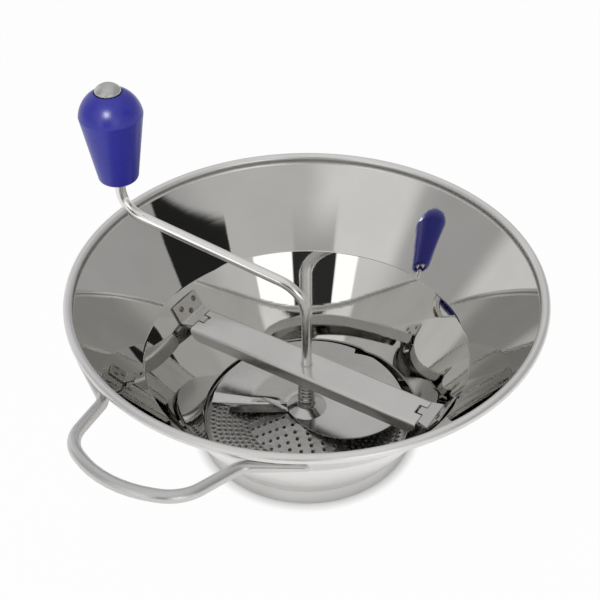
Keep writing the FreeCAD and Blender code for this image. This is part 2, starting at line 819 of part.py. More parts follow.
# Crank: the rod stands in the sieve's pivot hole, rises through hub, spring and crossbar, and runs out and up
# to the knob. Its body is drawn in the XZ plane and turned to the crank's azimuth.
def crank_route(sketch):
    """The rod's middle line: upright, bend, sloping run, bend, upright, each tangent to the next."""
    rise = math.radians(size("crank_rise"))
    setback = math.tan((math.pi / 2 - rise) / 2)
    run = Vector(math.cos(rise), math.sin(rise), 0)
    throw = size("crank_throw")
    low_bend = size("crank_low_bend")
    high_bend = size("crank_high_bend")
    low_start = Vector(0, size("low_bend_start"), 0)
    low_end = Vector(0, size("crank_corner"), 0) + run * (low_bend * setback)
    high_start = Vector(throw, size("high_corner"), 0) - run * (high_bend * setback)
    high_end = Vector(throw, size("high_bend_end"), 0)
    foot = Vector(0, size("rod_foot"), 0)
    top = Vector(throw, size("rod_top"), 0)
    low_circle = Part.Circle(low_start + X_AXIS * low_bend, Z_AXIS, low_bend)
    high_circle = Part.Circle(high_end - X_AXIS * high_bend, Z_AXIS, high_bend)
    pieces = [
        Part.LineSegment(foot, low_start),
        Part.ArcOfCircle(low_circle, math.pi / 2 + rise, math.pi),
        Part.LineSegment(low_end, high_start),
        Part.ArcOfCircle(high_circle, rise - math.pi / 2, 0),
        Part.LineSegment(high_end, top),
    ]
    sketch.addGeometry(pieces, False)
    # the lower arc is drawn from the run back to the upright, so its ends meet the lines the other way round
    for one, one_end, other, other_end in ((0, 2, 1, 2), (1, 1, 2, 1), (2, 2, 3, 1), (3, 2, 4, 1)):
        sketch.addConstraint(Sketcher.Constraint("Tangent", one, one_end, other, other_end))
    sketch.addConstraint(Sketcher.Constraint("Vertical", 0))
    sketch.addConstraint(Sketcher.Constraint("Vertical", 4))
    pin_point(sketch, 0, 1, "0", "rod_foot", foot)
    pin_point(sketch, 4, 2, "crank_throw", "rod_top", top)
    hold(sketch, "low_bend_start", "DistanceY", -1, 1, 0, 2, low_start.y)
    hold(sketch, "crank_rise * 1 deg", "Angle", 2, rise)
    hold(sketch, "crank_low_bend", "Radius", 1, low_bend)
    hold(sketch, "crank_high_bend", "Radius", 3, high_bend)
    return sketch


def make_crank():
    body = new_body("crank_rod")
    section = circle(sketch_on(body, "rod_section", "XY_Plane"), "0", "0", "rod / 2")
    bind(section, AttachmentOffset__Base__z="rod_foot")
    swept = body.newObject("PartDesign::AdditivePipe", "rod_swept")
    swept.Profile = section
    swept.Spine = (crank_route(sketch_on(body, "rod_route", "XZ_Plane")), [])
    pocket(body, circle(sketch_on(body, "pin_hole", "XZ_Plane"), "0", "pin_height", "hub_pin / 2"))
    return put(body, turn="crank_azimuth")


def make_hub():
    body = new_body("impeller_hub")
    profile = outline(
        sketch_on(body, "hub_profile", "XZ_Plane"),
        [
            ("rod / 2", "blade_low"),
            ("blade_eye", "blade_low"),
            ("blade_eye", "blade_top"),
            ("hub_foot", "blade_top"),
            ("hub_foot", "hub_shoulder"),
            ("hub_crown", "hub_top"),
            ("rod / 2", "hub_top"),
        ],
    )
    turned(body, "Revolution", profile)
    pocket(body, circle(sketch_on(body, "hub_pin_hole", "XZ_Plane"), "0", "pin_height", "hub_pin / 2"))
    return put(body, turn="crank_azimuth")


def make_hub_pin():
    pin = doc.addObject("Part::Cylinder", "hub_pin")
    bind(pin, Radius="hub_pin / 2", Height="hub_pin_length")
    lying = Rotation(Z_AXIS, size("crank_azimuth")) * Rotation(X_AXIS, -90)
    along = lying.multVec(Z_AXIS)
    pin.Placement = Placement(Z_AXIS * size("pin_height") - along * (size("hub_pin_length") / 2), lying)
    return pin


# Impeller plate: level over the crown and in front, with a lobed leading edge, then winding down over the
# back to an edge that follows the sieve's own profile, with a rounded lip.
def rubbing_height(radius):
    """The height of the plate's underside along the rubbing edge."""
    flat = size("disc_top") + size("blade_clearance")
    inside = size("cone_radius") + size("blade_cone_shift") - radius
    share = max(0.0, inside / (size("cone_radius") - size("crown_radius")))
    return min(size("blade_low"), flat + size("crown_rise") * share)


def winding_height(radius, turn):
    """The height of the plate's underside at a turn in degrees back from the rubbing edge."""
    whole = size("blade_edge_azimuth") - size("blade_flat_azimuth")
    lip = min(1.0, radius * math.radians(turn) / size("lip_width"))
    lip = lip * lip * (3 - 2 * lip)
    share = size("lip_share") * lip + (1 - size("lip_share")) * math.sin(math.pi / 2 * turn / whole)
    low = rubbing_height(radius)
    return low + (size("blade_low") - low) * share


def make_blade():
    eye = size("blade_eye")
    outer = size("blade_radius")
    edge_at = size("blade_edge_azimuth")
    flat_at = size("blade_flat_azimuth")
    lift = Z_AXIS * size("blade_sheet")

    # the winding part, as one smooth surface through a polar net, finest at the lip
    radial_steps = 22
    turn_steps = 17
    turns = [(edge_at - flat_at) * (step / turn_steps) ** 2 for step in range(turn_steps + 1)]
    net = []
    for step in range(radial_steps + 1):
        radius = eye + (outer - eye) * step / radial_steps
        net.append([polar(radius, edge_at - turn, winding_height(radius, turn)) for turn in turns])
    surface = Part.BSplineSurface()
    surface.interpolate(net)
    winding = surface.toShape().extrude(lift)

    # the level part, whose leading edge is the lobe's circle
    lobe = Vector(size("lobe_x"), size("lobe_y"), 0)
    lobe_radius = size("lobe_radius")
    lobe_azimuth = math.degrees(math.atan2(lobe.y, lobe.x))
    ray = polar(1, edge_at)
    nearest = ray.dot(lobe)
    start = ray * (nearest + math.sqrt(nearest**2 - lobe.Length**2 + lobe_radius**2))
    along = (outer**2 - lobe_radius**2 + lobe.Length**2) / (2 * lobe.Length)
    meet_azimuth = lobe_azimuth - math.degrees(math.acos(along / outer))
    meet = polar(outer, meet_azimuth)
    front = lobe + polar(lobe_radius, lobe_azimuth - 90)
    eye_front = polar(eye, (flat_at + edge_at) / 2 - 180)
    edges = [
        Part.LineSegment(ray * eye, start).toShape(),
        Part.Arc(start, front, meet).toShape(),
        Part.Arc(meet, polar(outer, (meet_azimuth + flat_at) / 2), polar(outer, flat_at)).toShape(),
        Part.LineSegment(polar(outer, flat_at), polar(eye, flat_at)).toShape(),
        Part.Arc(polar(eye, flat_at), eye_front, ray * eye).toShape(),
    ]
    level = Part.Face(Part.Wire(edges))
    level.translate(Z_AXIS * size("blade_low"))
    blade = doc.addObject("Part::Feature", "impeller_plate")
    blade.Shape = level.extrude(lift).fuse(winding)
    return blade


# Knob: a tapered plastic grip with a domed top, on a sleeve that turns on the rod, held between a ring in its
# foot and the cap on the rod's end.
def make_knob():
    body = new_body("knob_grip")
    taper = outline(
        sketch_on(body, "knob_side", "XZ_Plane"),
        [("0", "0"), ("knob_foot", "0"), ("knob_wide", "knob_taper"), ("0", "knob_taper")],
    )
    turned(body, "Revolution", taper)
    whole = dome(body, "knob_dome", "knob_taper", "knob_wide", "knob_wide")
    rounded(body, whole, "knob_foot_round", round_edge_at(0, size("knob_foot")))
    bore = outline(
        sketch_on(body, "knob_bore", "XZ_Plane"),
        [
            ("0", "-stop_inset"),
            ("stop_radius + stop_side_gap", "-stop_inset"),
            ("stop_radius + stop_side_gap", "sleeve_low - knob_low"),
            ("sleeve_outer", "sleeve_low - knob_low"),
            ("sleeve_outer", "recess_floor - knob_low"),
            ("recess_radius", "recess_floor - knob_low"),
            ("recess_radius", "knob_top + cap_inset - knob_low"),
            ("0", "knob_top + cap_inset - knob_low"),
        ],
    )
    turned(body, "Groove", bore)
    return put(body, "knob_x", "knob_y", "knob_low")


def make_knob_cap():
    body = new_body("knob_end_cap")
    rim = outline(
        sketch_on(body, "cap_rim", "XZ_Plane"),
        [("0", "0"), ("cap_radius", "0"), ("cap_radius", "cap_edge"), ("0", "cap_edge")],
    )
    turned(body, "Revolution", rim)
    dome(body, "cap_round", "cap_edge", "cap_radius", "cap_dome")
    socket = outline(
        sketch_on(body, "cap_bore", "XZ_Plane"),
        [("0", "-cap_end_gap"), ("rod / 2", "-cap_end_gap"), ("rod / 2", "cap_socket"), ("0", "cap_socket")],
    )
    turned(body, "Groove", socket)
    return put(body, "knob_x", "knob_y", "cap_low")


nodes = [make_bowl(), make_handle()]
for name, side, sign in (("right", 1, ""), ("left", -1, "-")):
    nodes.append(make_handle_weld(f"{name}_handle_weld", side))
    nodes.append(make_bracket(f"{name}_bracket", sign))
    nodes.append(make_spot_welds(f"{name}_spot_welds", side))
nodes += [
    make_sieve(),
    make_crossbar(),
    make_crossbar_bush(),
    ring("spring_top_washer", "washer_bore", "washer_radius", "washer_low", "washer_top"),
    make_spring(),
    ring("spring_seat_washer", "washer_bore", "washer_radius", "seat_low", "seat_top"),
    make_crank(),
    make_blade(),
    make_hub(),
    make_hub_pin(),
    make_knob(),
    put(ring("knob_sleeve", "bush_inner", "sleeve_outer", "sleeve_low", "recess_floor"), "knob_x", "knob_y"),
    put(ring("knob_stop_ring", "rod / 2", "stop_radius", "stop_low", "stop_top"), "knob_x", "knob_y"),
    make_knob_cap(),
]
doc.recompute()

for item in doc.Objects:
    if "Invalid" in item.State or "Error" in item.State:
        raise RuntimeError(f"{item.Label} failed: {item.State}")
for node in nodes:
    if node.Shape.isNull() or not node.Shape.isValid() or not node.Shape.Solids:
        raise RuntimeError(f"{node.Label} is not a valid solid")

os.makedirs("parts", exist_ok=True)
for node in nodes:
    node.Shape.exportStep(f"parts/{node.Label}.step")
    print(f"{node.Label}: {len(node.Shape.Solids)} solid(s), {node.Shape.Volume:.1f} mm3")
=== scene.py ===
import math

import bmesh
import bpy
from mathutils import Matrix, Vector


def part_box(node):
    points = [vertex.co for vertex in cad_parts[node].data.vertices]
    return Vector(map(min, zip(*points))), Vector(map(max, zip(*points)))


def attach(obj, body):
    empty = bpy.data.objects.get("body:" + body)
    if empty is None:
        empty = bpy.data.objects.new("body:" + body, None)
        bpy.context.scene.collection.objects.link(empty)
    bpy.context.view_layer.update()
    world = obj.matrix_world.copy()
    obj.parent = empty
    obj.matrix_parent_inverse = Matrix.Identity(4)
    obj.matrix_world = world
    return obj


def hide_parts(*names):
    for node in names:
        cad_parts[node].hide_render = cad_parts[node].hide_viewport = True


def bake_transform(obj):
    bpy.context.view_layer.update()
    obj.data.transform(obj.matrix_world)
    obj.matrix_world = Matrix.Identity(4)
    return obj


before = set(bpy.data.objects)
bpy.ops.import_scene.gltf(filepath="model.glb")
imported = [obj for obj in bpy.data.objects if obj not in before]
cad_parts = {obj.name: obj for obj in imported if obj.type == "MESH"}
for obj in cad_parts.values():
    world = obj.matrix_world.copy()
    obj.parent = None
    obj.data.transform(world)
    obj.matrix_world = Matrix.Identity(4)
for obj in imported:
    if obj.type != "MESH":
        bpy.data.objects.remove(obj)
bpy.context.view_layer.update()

# The bowl: one sheet of stainless steel, spun into a wide flared hopper over a steep cone. Its rim is rolled
# outward round itself, a soft shoulder parts flare from cone, and the foot turns in to a short lip under the
# disc. The inside is polished, the rim and the outside are satin, and the foot's band is the outside's satin
# steel painted a darker grey, as painted shade under the cone's edge.
bead_centre = (0.152, 0.1285)
hollow_start = (0.148977, 0.124048)
hollow_centre = (0.146602, 0.125880)
hollow_turn = math.radians(63.5)
bead_turn = math.radians(267.3)
outer_top = (0.151527, 0.125538)
shoulder = (0.1096, 0.0730)
shoulder_round = 0.0011
outer_shoulder_round = 0.0010
band_height = 0.0124
band_round = 0.0006
foot_radius = 0.0750
foot_round = 0.0012
wall = 0.0014
base_sheet = 0.0012
band_inside = foot_radius - wall
lip_top = 0.0052
lip_inner = band_inside - 0.0040
lip_outer = band_inside - 0.0028
lip_round = 0.0004
bowl_steps = 192


def chain(bm, points):
    """A row of vertices at (radius, height) points, joined one to the next."""
    row = [bm.verts.new((radius, 0, height)) for radius, height in points]
    for first, second in zip(row, row[1:]):
        bm.edges.new((first, second))
    return row


def roll(bm, vert, centre, angle, steps):
    """A vertex carried round a (radius, height) centre in the profile's plane; gives the last one."""
    middle = (centre[0], 0, centre[1])
    swept = bmesh.ops.spin(bm, geom=[vert], cent=middle, axis=(0, 1, 0), angle=angle, steps=steps)
    return next(item for item in swept["geom_last"] if isinstance(item, bmesh.types.BMVert))


def turn(bm, steps):
    """The profile in a bmesh, turned once round Z and closed."""
    profile = bm.verts[:] + bm.edges[:]
    bmesh.ops.spin(
        bm, geom=profile, cent=(0, 0, 0), axis=(0, 0, 1), angle=math.tau, steps=steps, use_merge=True
    )
    bmesh.ops.remove_doubles(bm, verts=bm.verts, dist=1e-6)
    bmesh.ops.recalc_face_normals(bm, faces=bm.faces)


def bevel(bm, edges, size, segments):
    """Rounds the given edges."""
    bmesh.ops.bevel(
        bm, geom=edges, offset=size, offset_type="OFFSET", segments=segments, profile=0.5,
        affect="EDGES", material=-1,
    )


def ring_edges(bm, radius, height):
    """The ring of edges at one radius and height."""
    def there(vert):
        return abs(vert.co.xy.length - radius) < 2e-5 and abs(vert.co.z - height) < 2e-5
    return [edge for edge in bm.edges if all(there(vert) for vert in edge.verts)]


def piece_of(bm, name, body, materials, sharp=35):
    """An object made from a bmesh, smooth but for its sharp edges, that moves with a body if one is given."""
    mesh = bpy.data.meshes.new(name)
    bm.to_mesh(mesh)
    bm.free()
    mesh.shade_smooth()
    mesh.set_sharp_from_angle(angle=math.radians(sharp))
    for material in materials:
        mesh.materials.append(material)
    piece = bpy.data.objects.new(name, mesh)
    bpy.context.collection.objects.link(piece)
    level = piece.modifiers.new("level_faces", "WEIGHTED_NORMAL")
    level.keep_sharp = True
    if body:
        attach(piece, body)
    return piece


def shader(name):
    """A material's node tree, its Principled shader and its Object coordinates."""
    material = bpy.data.materials.new(name)
    material.use_nodes = True
    tree = material.node_tree
    coordinates = tree.nodes.new("ShaderNodeTexCoord").outputs["Object"]
    return material, tree, tree.nodes["Principled BSDF"], coordinates


def noise(tree, vector, scale, detail):
    """A noise value over a vector, with its scale per metre."""
    node = tree.nodes.new("ShaderNodeTexNoise")
    node.inputs["Scale"].default_value = scale
    node.inputs["Detail"].default_value = detail
    tree.links.new(vector, node.inputs["Vector"])
    return node.outputs["Fac"]


def spread(tree, value, low, high, start=0.3, end=0.7):
    """A value stretched so that start to end becomes low to high."""
    node = tree.nodes.new("ShaderNodeMapRange")
    for name, number in (("From Min", start), ("From Max", end), ("To Min", low), ("To Max", high)):
        node.inputs[name].default_value = number
    tree.links.new(value, node.inputs["Value"])
    return node.outputs["Result"]


def mixed(tree, factor, first, second):
    """One colour turning into another."""
    node = tree.nodes.new("ShaderNodeMix")
    node.data_type = "RGBA"
    for socket, colour in ((node.inputs[6], first), (node.inputs[7], second)):
        if isinstance(colour, tuple):
            socket.default_value = (*colour, 1)
        else:
            tree.links.new(colour, socket)
    tree.links.new(factor, node.inputs[0])
    return node.outputs[2]


def stretched(tree, vector, scale):
    """Coordinates scaled before a texture reads them."""
    node = tree.nodes.new("ShaderNodeMapping")
    node.inputs["Scale"].default_value = scale
    tree.links.new(vector, node.inputs["Vector"])
    return node.outputs["Vector"]


def turned_coordinates(tree, coordinates):
    """Radius and height in place of X and Z, so that a texture runs in rings round the axis."""
    flat = tree.nodes.new("ShaderNodeVectorMath")
    flat.operation = "MULTIPLY"
    flat.inputs[1].default_value = (1, 1, 0)
    tree.links.new(coordinates, flat.inputs[0])
    radius = tree.nodes.new("ShaderNodeVectorMath")
    radius.operation = "LENGTH"
    tree.links.new(flat.outputs[0], radius.inputs[0])
    parts = tree.nodes.new("ShaderNodeSeparateXYZ")
    tree.links.new(coordinates, parts.inputs[0])
    joined = tree.nodes.new("ShaderNodeCombineXYZ")
    tree.links.new(radius.outputs["Value"], joined.inputs["X"])
    tree.links.new(parts.outputs["Z"], joined.inputs["Z"])
    return joined.outputs[0]


def relief(tree, principled, height, strength, distance):
    """A bump on the shader's normal."""
    node = tree.nodes.new("ShaderNodeBump")
    node.inputs["Strength"].default_value = strength
    node.inputs["Distance"].default_value = distance
    tree.links.new(height, node.inputs["Height"])
    tree.links.new(node.outputs["Normal"], principled.inputs["Normal"])


mark_height = 0.00002


def steel(name, tone, dull_tone, gloss, marks, ringed=False, grain=(1, 1, 1), wave=0.0, bump=0.25):
    """Stainless steel: two tones in soft smudges, fine marks in its gloss and relief.

    gloss is the lowest and highest roughness, marks the number of fine marks in a metre, grain how they are
    stretched along X, Y and Z, ringed makes them run round the axis, wave is how deep the slow dents are, and
    bump how strongly the marks stand out.
    """
    material, tree, principled, coordinates = shader(name)
    principled.inputs["Metallic"].default_value = 1.0
    smudge = noise(tree, coordinates, 26, 4)
    colour = mixed(tree, spread(tree, smudge, 0, 1, 0.35, 0.7), tone, dull_tone)
    tree.links.new(colour, principled.inputs["Base Color"])
    vector = turned_coordinates(tree, coordinates) if ringed else coordinates
    fine = noise(tree, stretched(tree, vector, grain), marks, 2)
    tree.links.new(spread(tree, fine, *gloss), principled.inputs["Roughness"])
    height = fine
    if wave:
        slow = noise(tree, coordinates, 22, 1)
        total = tree.nodes.new("ShaderNodeMath")
        total.operation = "MULTIPLY_ADD"
        total.inputs[1].default_value = wave / mark_height
        tree.links.new(slow, total.inputs[0])
        tree.links.new(fine, total.inputs[2])
        height = total.outputs[0]
    relief(tree, principled, height, bump, mark_height)
    return material


flare_steel = steel(
    "spun_flare_steel", (0.65, 0.642, 0.62), (0.61, 0.602, 0.58), (0.015, 0.035), 900, True,
    wave=0.0004, bump=0.15,
)
cone_steel = steel(
    "polished_cone_steel", (0.70, 0.692, 0.67), (0.66, 0.652, 0.63), (0.02, 0.04), 700, True,
    wave=0.0004, bump=0.15,
)
rim_steel = steel(
    "rolled_rim_steel", (0.84, 0.832, 0.815), (0.78, 0.772, 0.755), (0.34, 0.42), 900, True, bump=0.08
)
outer_steel = steel(
    "spun_outer_steel", (0.92, 0.912, 0.895), (0.86, 0.852, 0.835), (0.20, 0.28), 1100, True, bump=0.1
)
# The foot's band: the outside's satin steel made darker, a painted shade for the shadow under the cone's
# edge.
band_shade_steel = steel(
    "painted_shade_band_steel", (0.66, 0.652, 0.64), (0.60, 0.592, 0.58), (0.20, 0.28), 1100, True, bump=0.1
)
bowl_finishes = [flare_steel, cone_steel, outer_steel, rim_steel, band_shade_steel]

bm = bmesh.new()
inner_points = [
    (lip_inner, lip_top), (lip_outer, lip_top), (lip_outer, base_sheet), (band_inside, base_sheet),
    (band_inside, band_height), shoulder, hollow_start,
]
inner_row = chain(bm, inner_points)
hollow_end = roll(bm, inner_row[-1], hollow_centre, -hollow_turn, 8)
rim_end = roll(bm, hollow_end, bead_centre, bead_turn, 26)
outer_row = chain(bm, [
    outer_top, (shoulder[0] + wall, shoulder[1]), (foot_radius, band_height), (foot_radius, 0),
    (lip_inner, 0),
])
bm.edges.new((rim_end, outer_row[0]))
bm.edges.new((outer_row[-1], inner_row[0]))
turn(bm, bowl_steps)
bevel(bm, ring_edges(bm, *shoulder), shoulder_round, 6)
bevel(bm, ring_edges(bm, shoulder[0] + wall, shoulder[1]), outer_shoulder_round, 4)
bevel(bm, ring_edges(bm, foot_radius, 0), foot_round, 4)
bevel(bm, ring_edges(bm, foot_radius, band_height), band_round, 3)
bevel(bm, ring_edges(bm, band_inside, band_height), lip_round, 3)
for radius in (lip_inner, lip_outer):
    bevel(bm, ring_edges(bm, radius, lip_top), lip_round, 2)
for face in bm.faces:
    middle = face.calc_center_median()
    inward = face.normal.xy.dot(middle.xy) < 0
    level_face = face.normal.z > 0.7
    if middle.z > hollow_start[1]:
        finish = rim_steel
    elif middle.z >= shoulder[1]:
        finish = flare_steel if inward else outer_steel
    elif inward or level_face:
        finish = cone_steel
    else:
        # The upright band below band_height takes the darker steel: painted shade.
        finish = band_shade_steel if middle.z < band_height else outer_steel
    face.material_index = bowl_finishes.index(finish)
bowl = piece_of(bm, "bowl_spun_sheet", "bowl", bowl_finishes)
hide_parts("bowl_shell")

# The handle: a round steel rod bent into a long loop. Its two tails are pressed flatter where they lie along
# the outside of the flare and are welded on, and it rises a little towards the cook's hand.
handle_radius = 0.00375
handle_level = 0.1190
tail_radius = 0.15135
tail_half = 0.0185
tail_azimuth = math.radians(-64.5)
handle_half = 0.0390
handle_reach = 0.0410
handle_drop = 0.0175
handle_rise = math.tan(math.radians(10))
tail_bend = 0.012
corner_bend = 0.026
end_bend = 0.060
tail_end_round = 0.0022
flare_lean = math.radians(37.65)
press_start = 0.004
press_length = 0.010
pressed_share = 0.45


def grown_ring(bm, ring):
    """Edges extruded in place; gives the new vertices and the new edges between them."""
    grown = bmesh.ops.extrude_edge_only(bm, edges=ring)["geom"]
    verts = [item for item in grown if isinstance(item, bmesh.types.BMVert)]
    fresh = set(verts)
    edges = [
        item for item in grown
        if isinstance(item, bmesh.types.BMEdge) and all(vert in fresh for vert in item.verts)
    ]
    return verts, edges


def bent_rod(corners, bends, radius, end_round, sides=28):
    """A round rod through straight runs, with a bend of its own radius at each inner corner."""
    bm = bmesh.new()
    way = (corners[1] - corners[0]).normalized()
    start = Matrix.Translation(corners[0]) @ way.to_track_quat("Z", "Y").to_matrix().to_4x4()
    bmesh.ops.create_circle(bm, segments=sides, radius=radius, matrix=start)
    ring = bm.edges[:]
    place = corners[0]

    def run(ring, by):
        verts, edges = grown_ring(bm, ring)
        bmesh.ops.translate(bm, verts=verts, vec=by)
        return edges

    for before, corner, after, bend in zip(corners, corners[1:], corners[2:], bends):
        way_in = (corner - before).normalized()
        way_out = (after - corner).normalized()
        angle = way_in.angle(way_out)
        bend_start = corner - way_in * bend * math.tan(angle / 2)
        axis = way_in.cross(way_out).normalized()
        centre = bend_start + axis.cross(way_in) * bend
        ring = run(ring, bend_start - place)
        steps = max(6, round(math.degrees(angle) / 6))
        swept = bmesh.ops.spin(
            bm, geom=ring + list({vert for edge in ring for vert in edge.verts}), cent=centre,
            axis=axis, angle=angle, steps=steps,
        )
        ring = [item for item in swept["geom_last"] if isinstance(item, bmesh.types.BMEdge)]
        place = corner + way_out * bend * math.tan(angle / 2)
    run(ring, corners[-1] - place)
    bmesh.ops.remove_doubles(bm, verts=bm.verts, dist=1e-7)
    bmesh.ops.holes_fill(bm, edges=[edge for edge in bm.edges if edge.is_boundary], sides=0)
    bmesh.ops.recalc_face_normals(bm, faces=bm.faces)
    ends = [edge for edge in bm.edges if any(len(face.verts) == sides for face in edge.link_faces)]
    bevel(bm, ends, end_round, 4)
    return bm


handle_steel = steel(
    "handle_rod_steel", (0.68, 0.675, 0.665), (0.62, 0.615, 0.605), (0.30, 0.38), 900, bump=0.06
)
outward = Vector((math.cos(tail_azimuth), math.sin(tail_azimuth), 0))
tail_way = Vector((-outward.y, outward.x, 0))
tail_middle = outward * tail_radius + Vector((0, 0, handle_level))
tip = tail_middle + tail_way * tail_half
root = tail_middle - tail_way * tail_half
handle_corner = Vector((handle_half, root.y - handle_reach, root.z + handle_rise * handle_reach))
handle_end = Vector((0, handle_corner.y - handle_drop, handle_corner.z + handle_rise * handle_drop))
flip = Matrix.Diagonal((-1, 1, 1))
right_run = [tip, root, handle_corner]
handle_run = right_run + [handle_end] + [flip @ point for point in reversed(right_run)]
handle_bends = [tail_bend, corner_bend, end_bend, corner_bend, tail_bend]
bm = bent_rod(handle_run, handle_bends, handle_radius, tail_end_round)
for vert in bm.verts:
    own_side = Matrix.Diagonal((math.copysign(1, vert.co.x), 1, 1))
    off_wall = own_side @ outward * math.cos(flare_lean) - Vector((0, 0, math.sin(flare_lean)))
    along = (vert.co - own_side @ root).dot(own_side @ tail_way)
    press = min(1.0, max(0.0, (along - press_start) / press_length))
    depth = (vert.co - own_side @ tail_middle).dot(off_wall) + handle_radius
    vert.co -= off_wall * depth * pressed_share * press * press * (3 - 2 * press)
handle = piece_of(bm, "handle_bent_rod", "bowl", [handle_steel])
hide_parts("handle_loop")

# The handle's welds: a long bead of weld metal in the corner above each tail, laid by hand, so that its top
# is rippled and a little straw-coloured from the heat.
weld_size = (0.0240, 0.0026, 0.0026)


def weld_metal():
    """Weld metal: grey with straw and brown heat colours, in ripples."""
    material, tree, principled, coordinates = shader("weld_metal")
    principled.inputs["Metallic"].default_value = 1.0
    heat = noise(tree, coordinates, 320, 3)
    warm = mixed(tree, spread(tree, heat, 0, 1, 0.4, 0.62), (0.50, 0.47, 0.42), (0.30, 0.22, 0.15))
    tree.links.new(warm, principled.inputs["Base Color"])
    ripple = noise(tree, coordinates, 900, 2)
    tree.links.new(spread(tree, ripple, 0.28, 0.5), principled.inputs["Roughness"])
    relief(tree, principled, ripple, 0.6, 0.0003)
    return material


weld_grey = weld_metal()
for side, label in ((1, "right"), (-1, "left")):
    low, high = (Vector(corner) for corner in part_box(f"{label}_handle_weld"))
    along = Vector((tail_way.x, side * tail_way.y, 0))
    bm = bmesh.new()
    place = Matrix.Translation((low + high) / 2) @ along.to_track_quat("X", "Z").to_matrix().to_4x4()
    bmesh.ops.create_uvsphere(
        bm, u_segments=48, v_segments=16, radius=0.5,
        matrix=place @ Matrix.Diagonal((*weld_size, 1)) @ Matrix.Rotation(math.pi / 2, 4, "Y"),
    )
    bead = piece_of(bm, f"{label}_handle_weld_bead", "bowl", [weld_grey])
    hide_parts(f"{label}_handle_weld")

# The two brackets: pressed from steel sheet, each a plate that lies against the cone, folded to a level tab
# over the bar's end. A narrow tongue on the tab drops into the bar's notch and keeps it from turning.
bracket_sheet = 0.0015
bracket_half = 0.0126
bracket_shift = 0.0012
tab_half = 0.0104
tab_inner = 0.0902
tab_top = 0.0582
tongue_half = 0.0032
tongue_reach = 0.0042
plate_top = 0.0694
fold_round = 0.0009
edge_break = 0.0002
wall_slope = 0.5938
plate_across = bracket_sheet * math.hypot(1, wall_slope)
bracket_steel = steel(
    "pressed_bracket_steel", (0.56, 0.555, 0.545), (0.50, 0.495, 0.485), (0.16, 0.24), 700,
    grain=(1, 0.15, 1), bump=0.06,
)


def break_edges(piece):
    """Takes the sharpness off a sheet's cut edges."""
    edge_round = piece.modifiers.new("broken_edges", "BEVEL")
    edge_round.width = edge_break
    edge_round.segments = 2
    edge_round.angle_limit = math.radians(50)


for side, label in ((1, "right"), (-1, "left")):
    low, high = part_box(f"{label}_bracket")
    fold = max(abs(low[0]), abs(high[0])) - plate_across - wall_slope * (plate_top - tab_top)
    across = [
        (tab_inner - tongue_reach, tongue_half), (tab_inner, tongue_half), (tab_inner, tab_half),
        (fold, bracket_half),
    ]
    outline = across + [(x, -y) for x, y in reversed(across)]
    bm = bmesh.new()
    tab = bm.faces.new([bm.verts.new((x, y + bracket_shift, tab_top)) for x, y in outline])
    fold_edge = max(tab.edges, key=lambda edge: sum(vert.co.x for vert in edge.verts))
    rise = plate_top - tab_top
    top = grown_ring(bm, [fold_edge])[0]
    bmesh.ops.translate(bm, verts=top, vec=(wall_slope * rise, 0, rise))
    bmesh.ops.recalc_face_normals(bm, faces=bm.faces)
    if tab.normal.z < 0:
        bmesh.ops.reverse_faces(bm, faces=bm.faces)
    bmesh.ops.solidify(bm, geom=bm.faces[:], thickness=bracket_sheet)
    folds = [
        edge for edge in bm.edges
        if abs(edge.verts[0].co.y - edge.verts[1].co.y) > 0.02 and len(edge.link_faces) == 2
        and 0.3 < edge.calc_face_angle() < 1.4
    ]
    bevel(bm, folds, fold_round, 5)
    if side < 0:
        bmesh.ops.scale(bm, vec=(-1, 1, 1), verts=bm.verts)
    bmesh.ops.recalc_face_normals(bm, faces=bm.faces)
    bracket = piece_of(bm, f"{label}_bracket_plate", "bowl", [bracket_steel], 40)
    break_edges(bracket)
    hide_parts(f"{label}_bracket")

# The brackets' spot welds: three small round marks on each plate, where the electrodes pressed it to the
# cone. They stand up very little, and are brown from the heat.
spot_places = ((0.0089, 0.0657), (-0.0054, 0.0654), (0.0017, 0.0606))
spot_radius = 0.0021
spot_flatness = 0.22
spot_sink = 0.0001
plate_lean = math.atan(wall_slope)


def spot_metal():
    """A spot weld's face: burnt brown and paler steel in patches."""
    material, tree, principled, coordinates = shader("spot_weld_metal")
    principled.inputs["Metallic"].default_value = 1.0
    burn = noise(tree, coordinates, 420, 3)
    colour = mixed(tree, spread(tree, burn, 0, 1, 0.35, 0.6), (0.13, 0.075, 0.04), (0.36, 0.30, 0.24))
    tree.links.new(colour, principled.inputs["Base Color"])
    tree.links.new(spread(tree, burn, 0.3, 0.5), principled.inputs["Roughness"])
    relief(tree, principled, burn, 0.4, 0.0002)
    return material


spot_brown = spot_metal()
for side, label in ((1, "right"), (-1, "left")):
    low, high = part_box(f"{label}_bracket")
    face_top = max(abs(low[0]), abs(high[0])) - plate_across
    bm = bmesh.new()
    for across, height in spot_places:
        x = face_top - wall_slope * (plate_top - height)
        place = Matrix.Translation((side * (x - spot_sink), across, height))
        lean = Matrix.Rotation(side * (plate_lean - math.pi / 2), 4, "Y")
        flat = Matrix.Diagonal((1, 1, spot_flatness, 1))
        bmesh.ops.create_uvsphere(
            bm, u_segments=24, v_segments=10, radius=spot_radius, matrix=place @ lean @ flat
        )
    spots = piece_of(bm, f"{label}_spot_weld_marks", "bowl", [spot_brown])
    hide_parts(f"{label}_spot_welds")

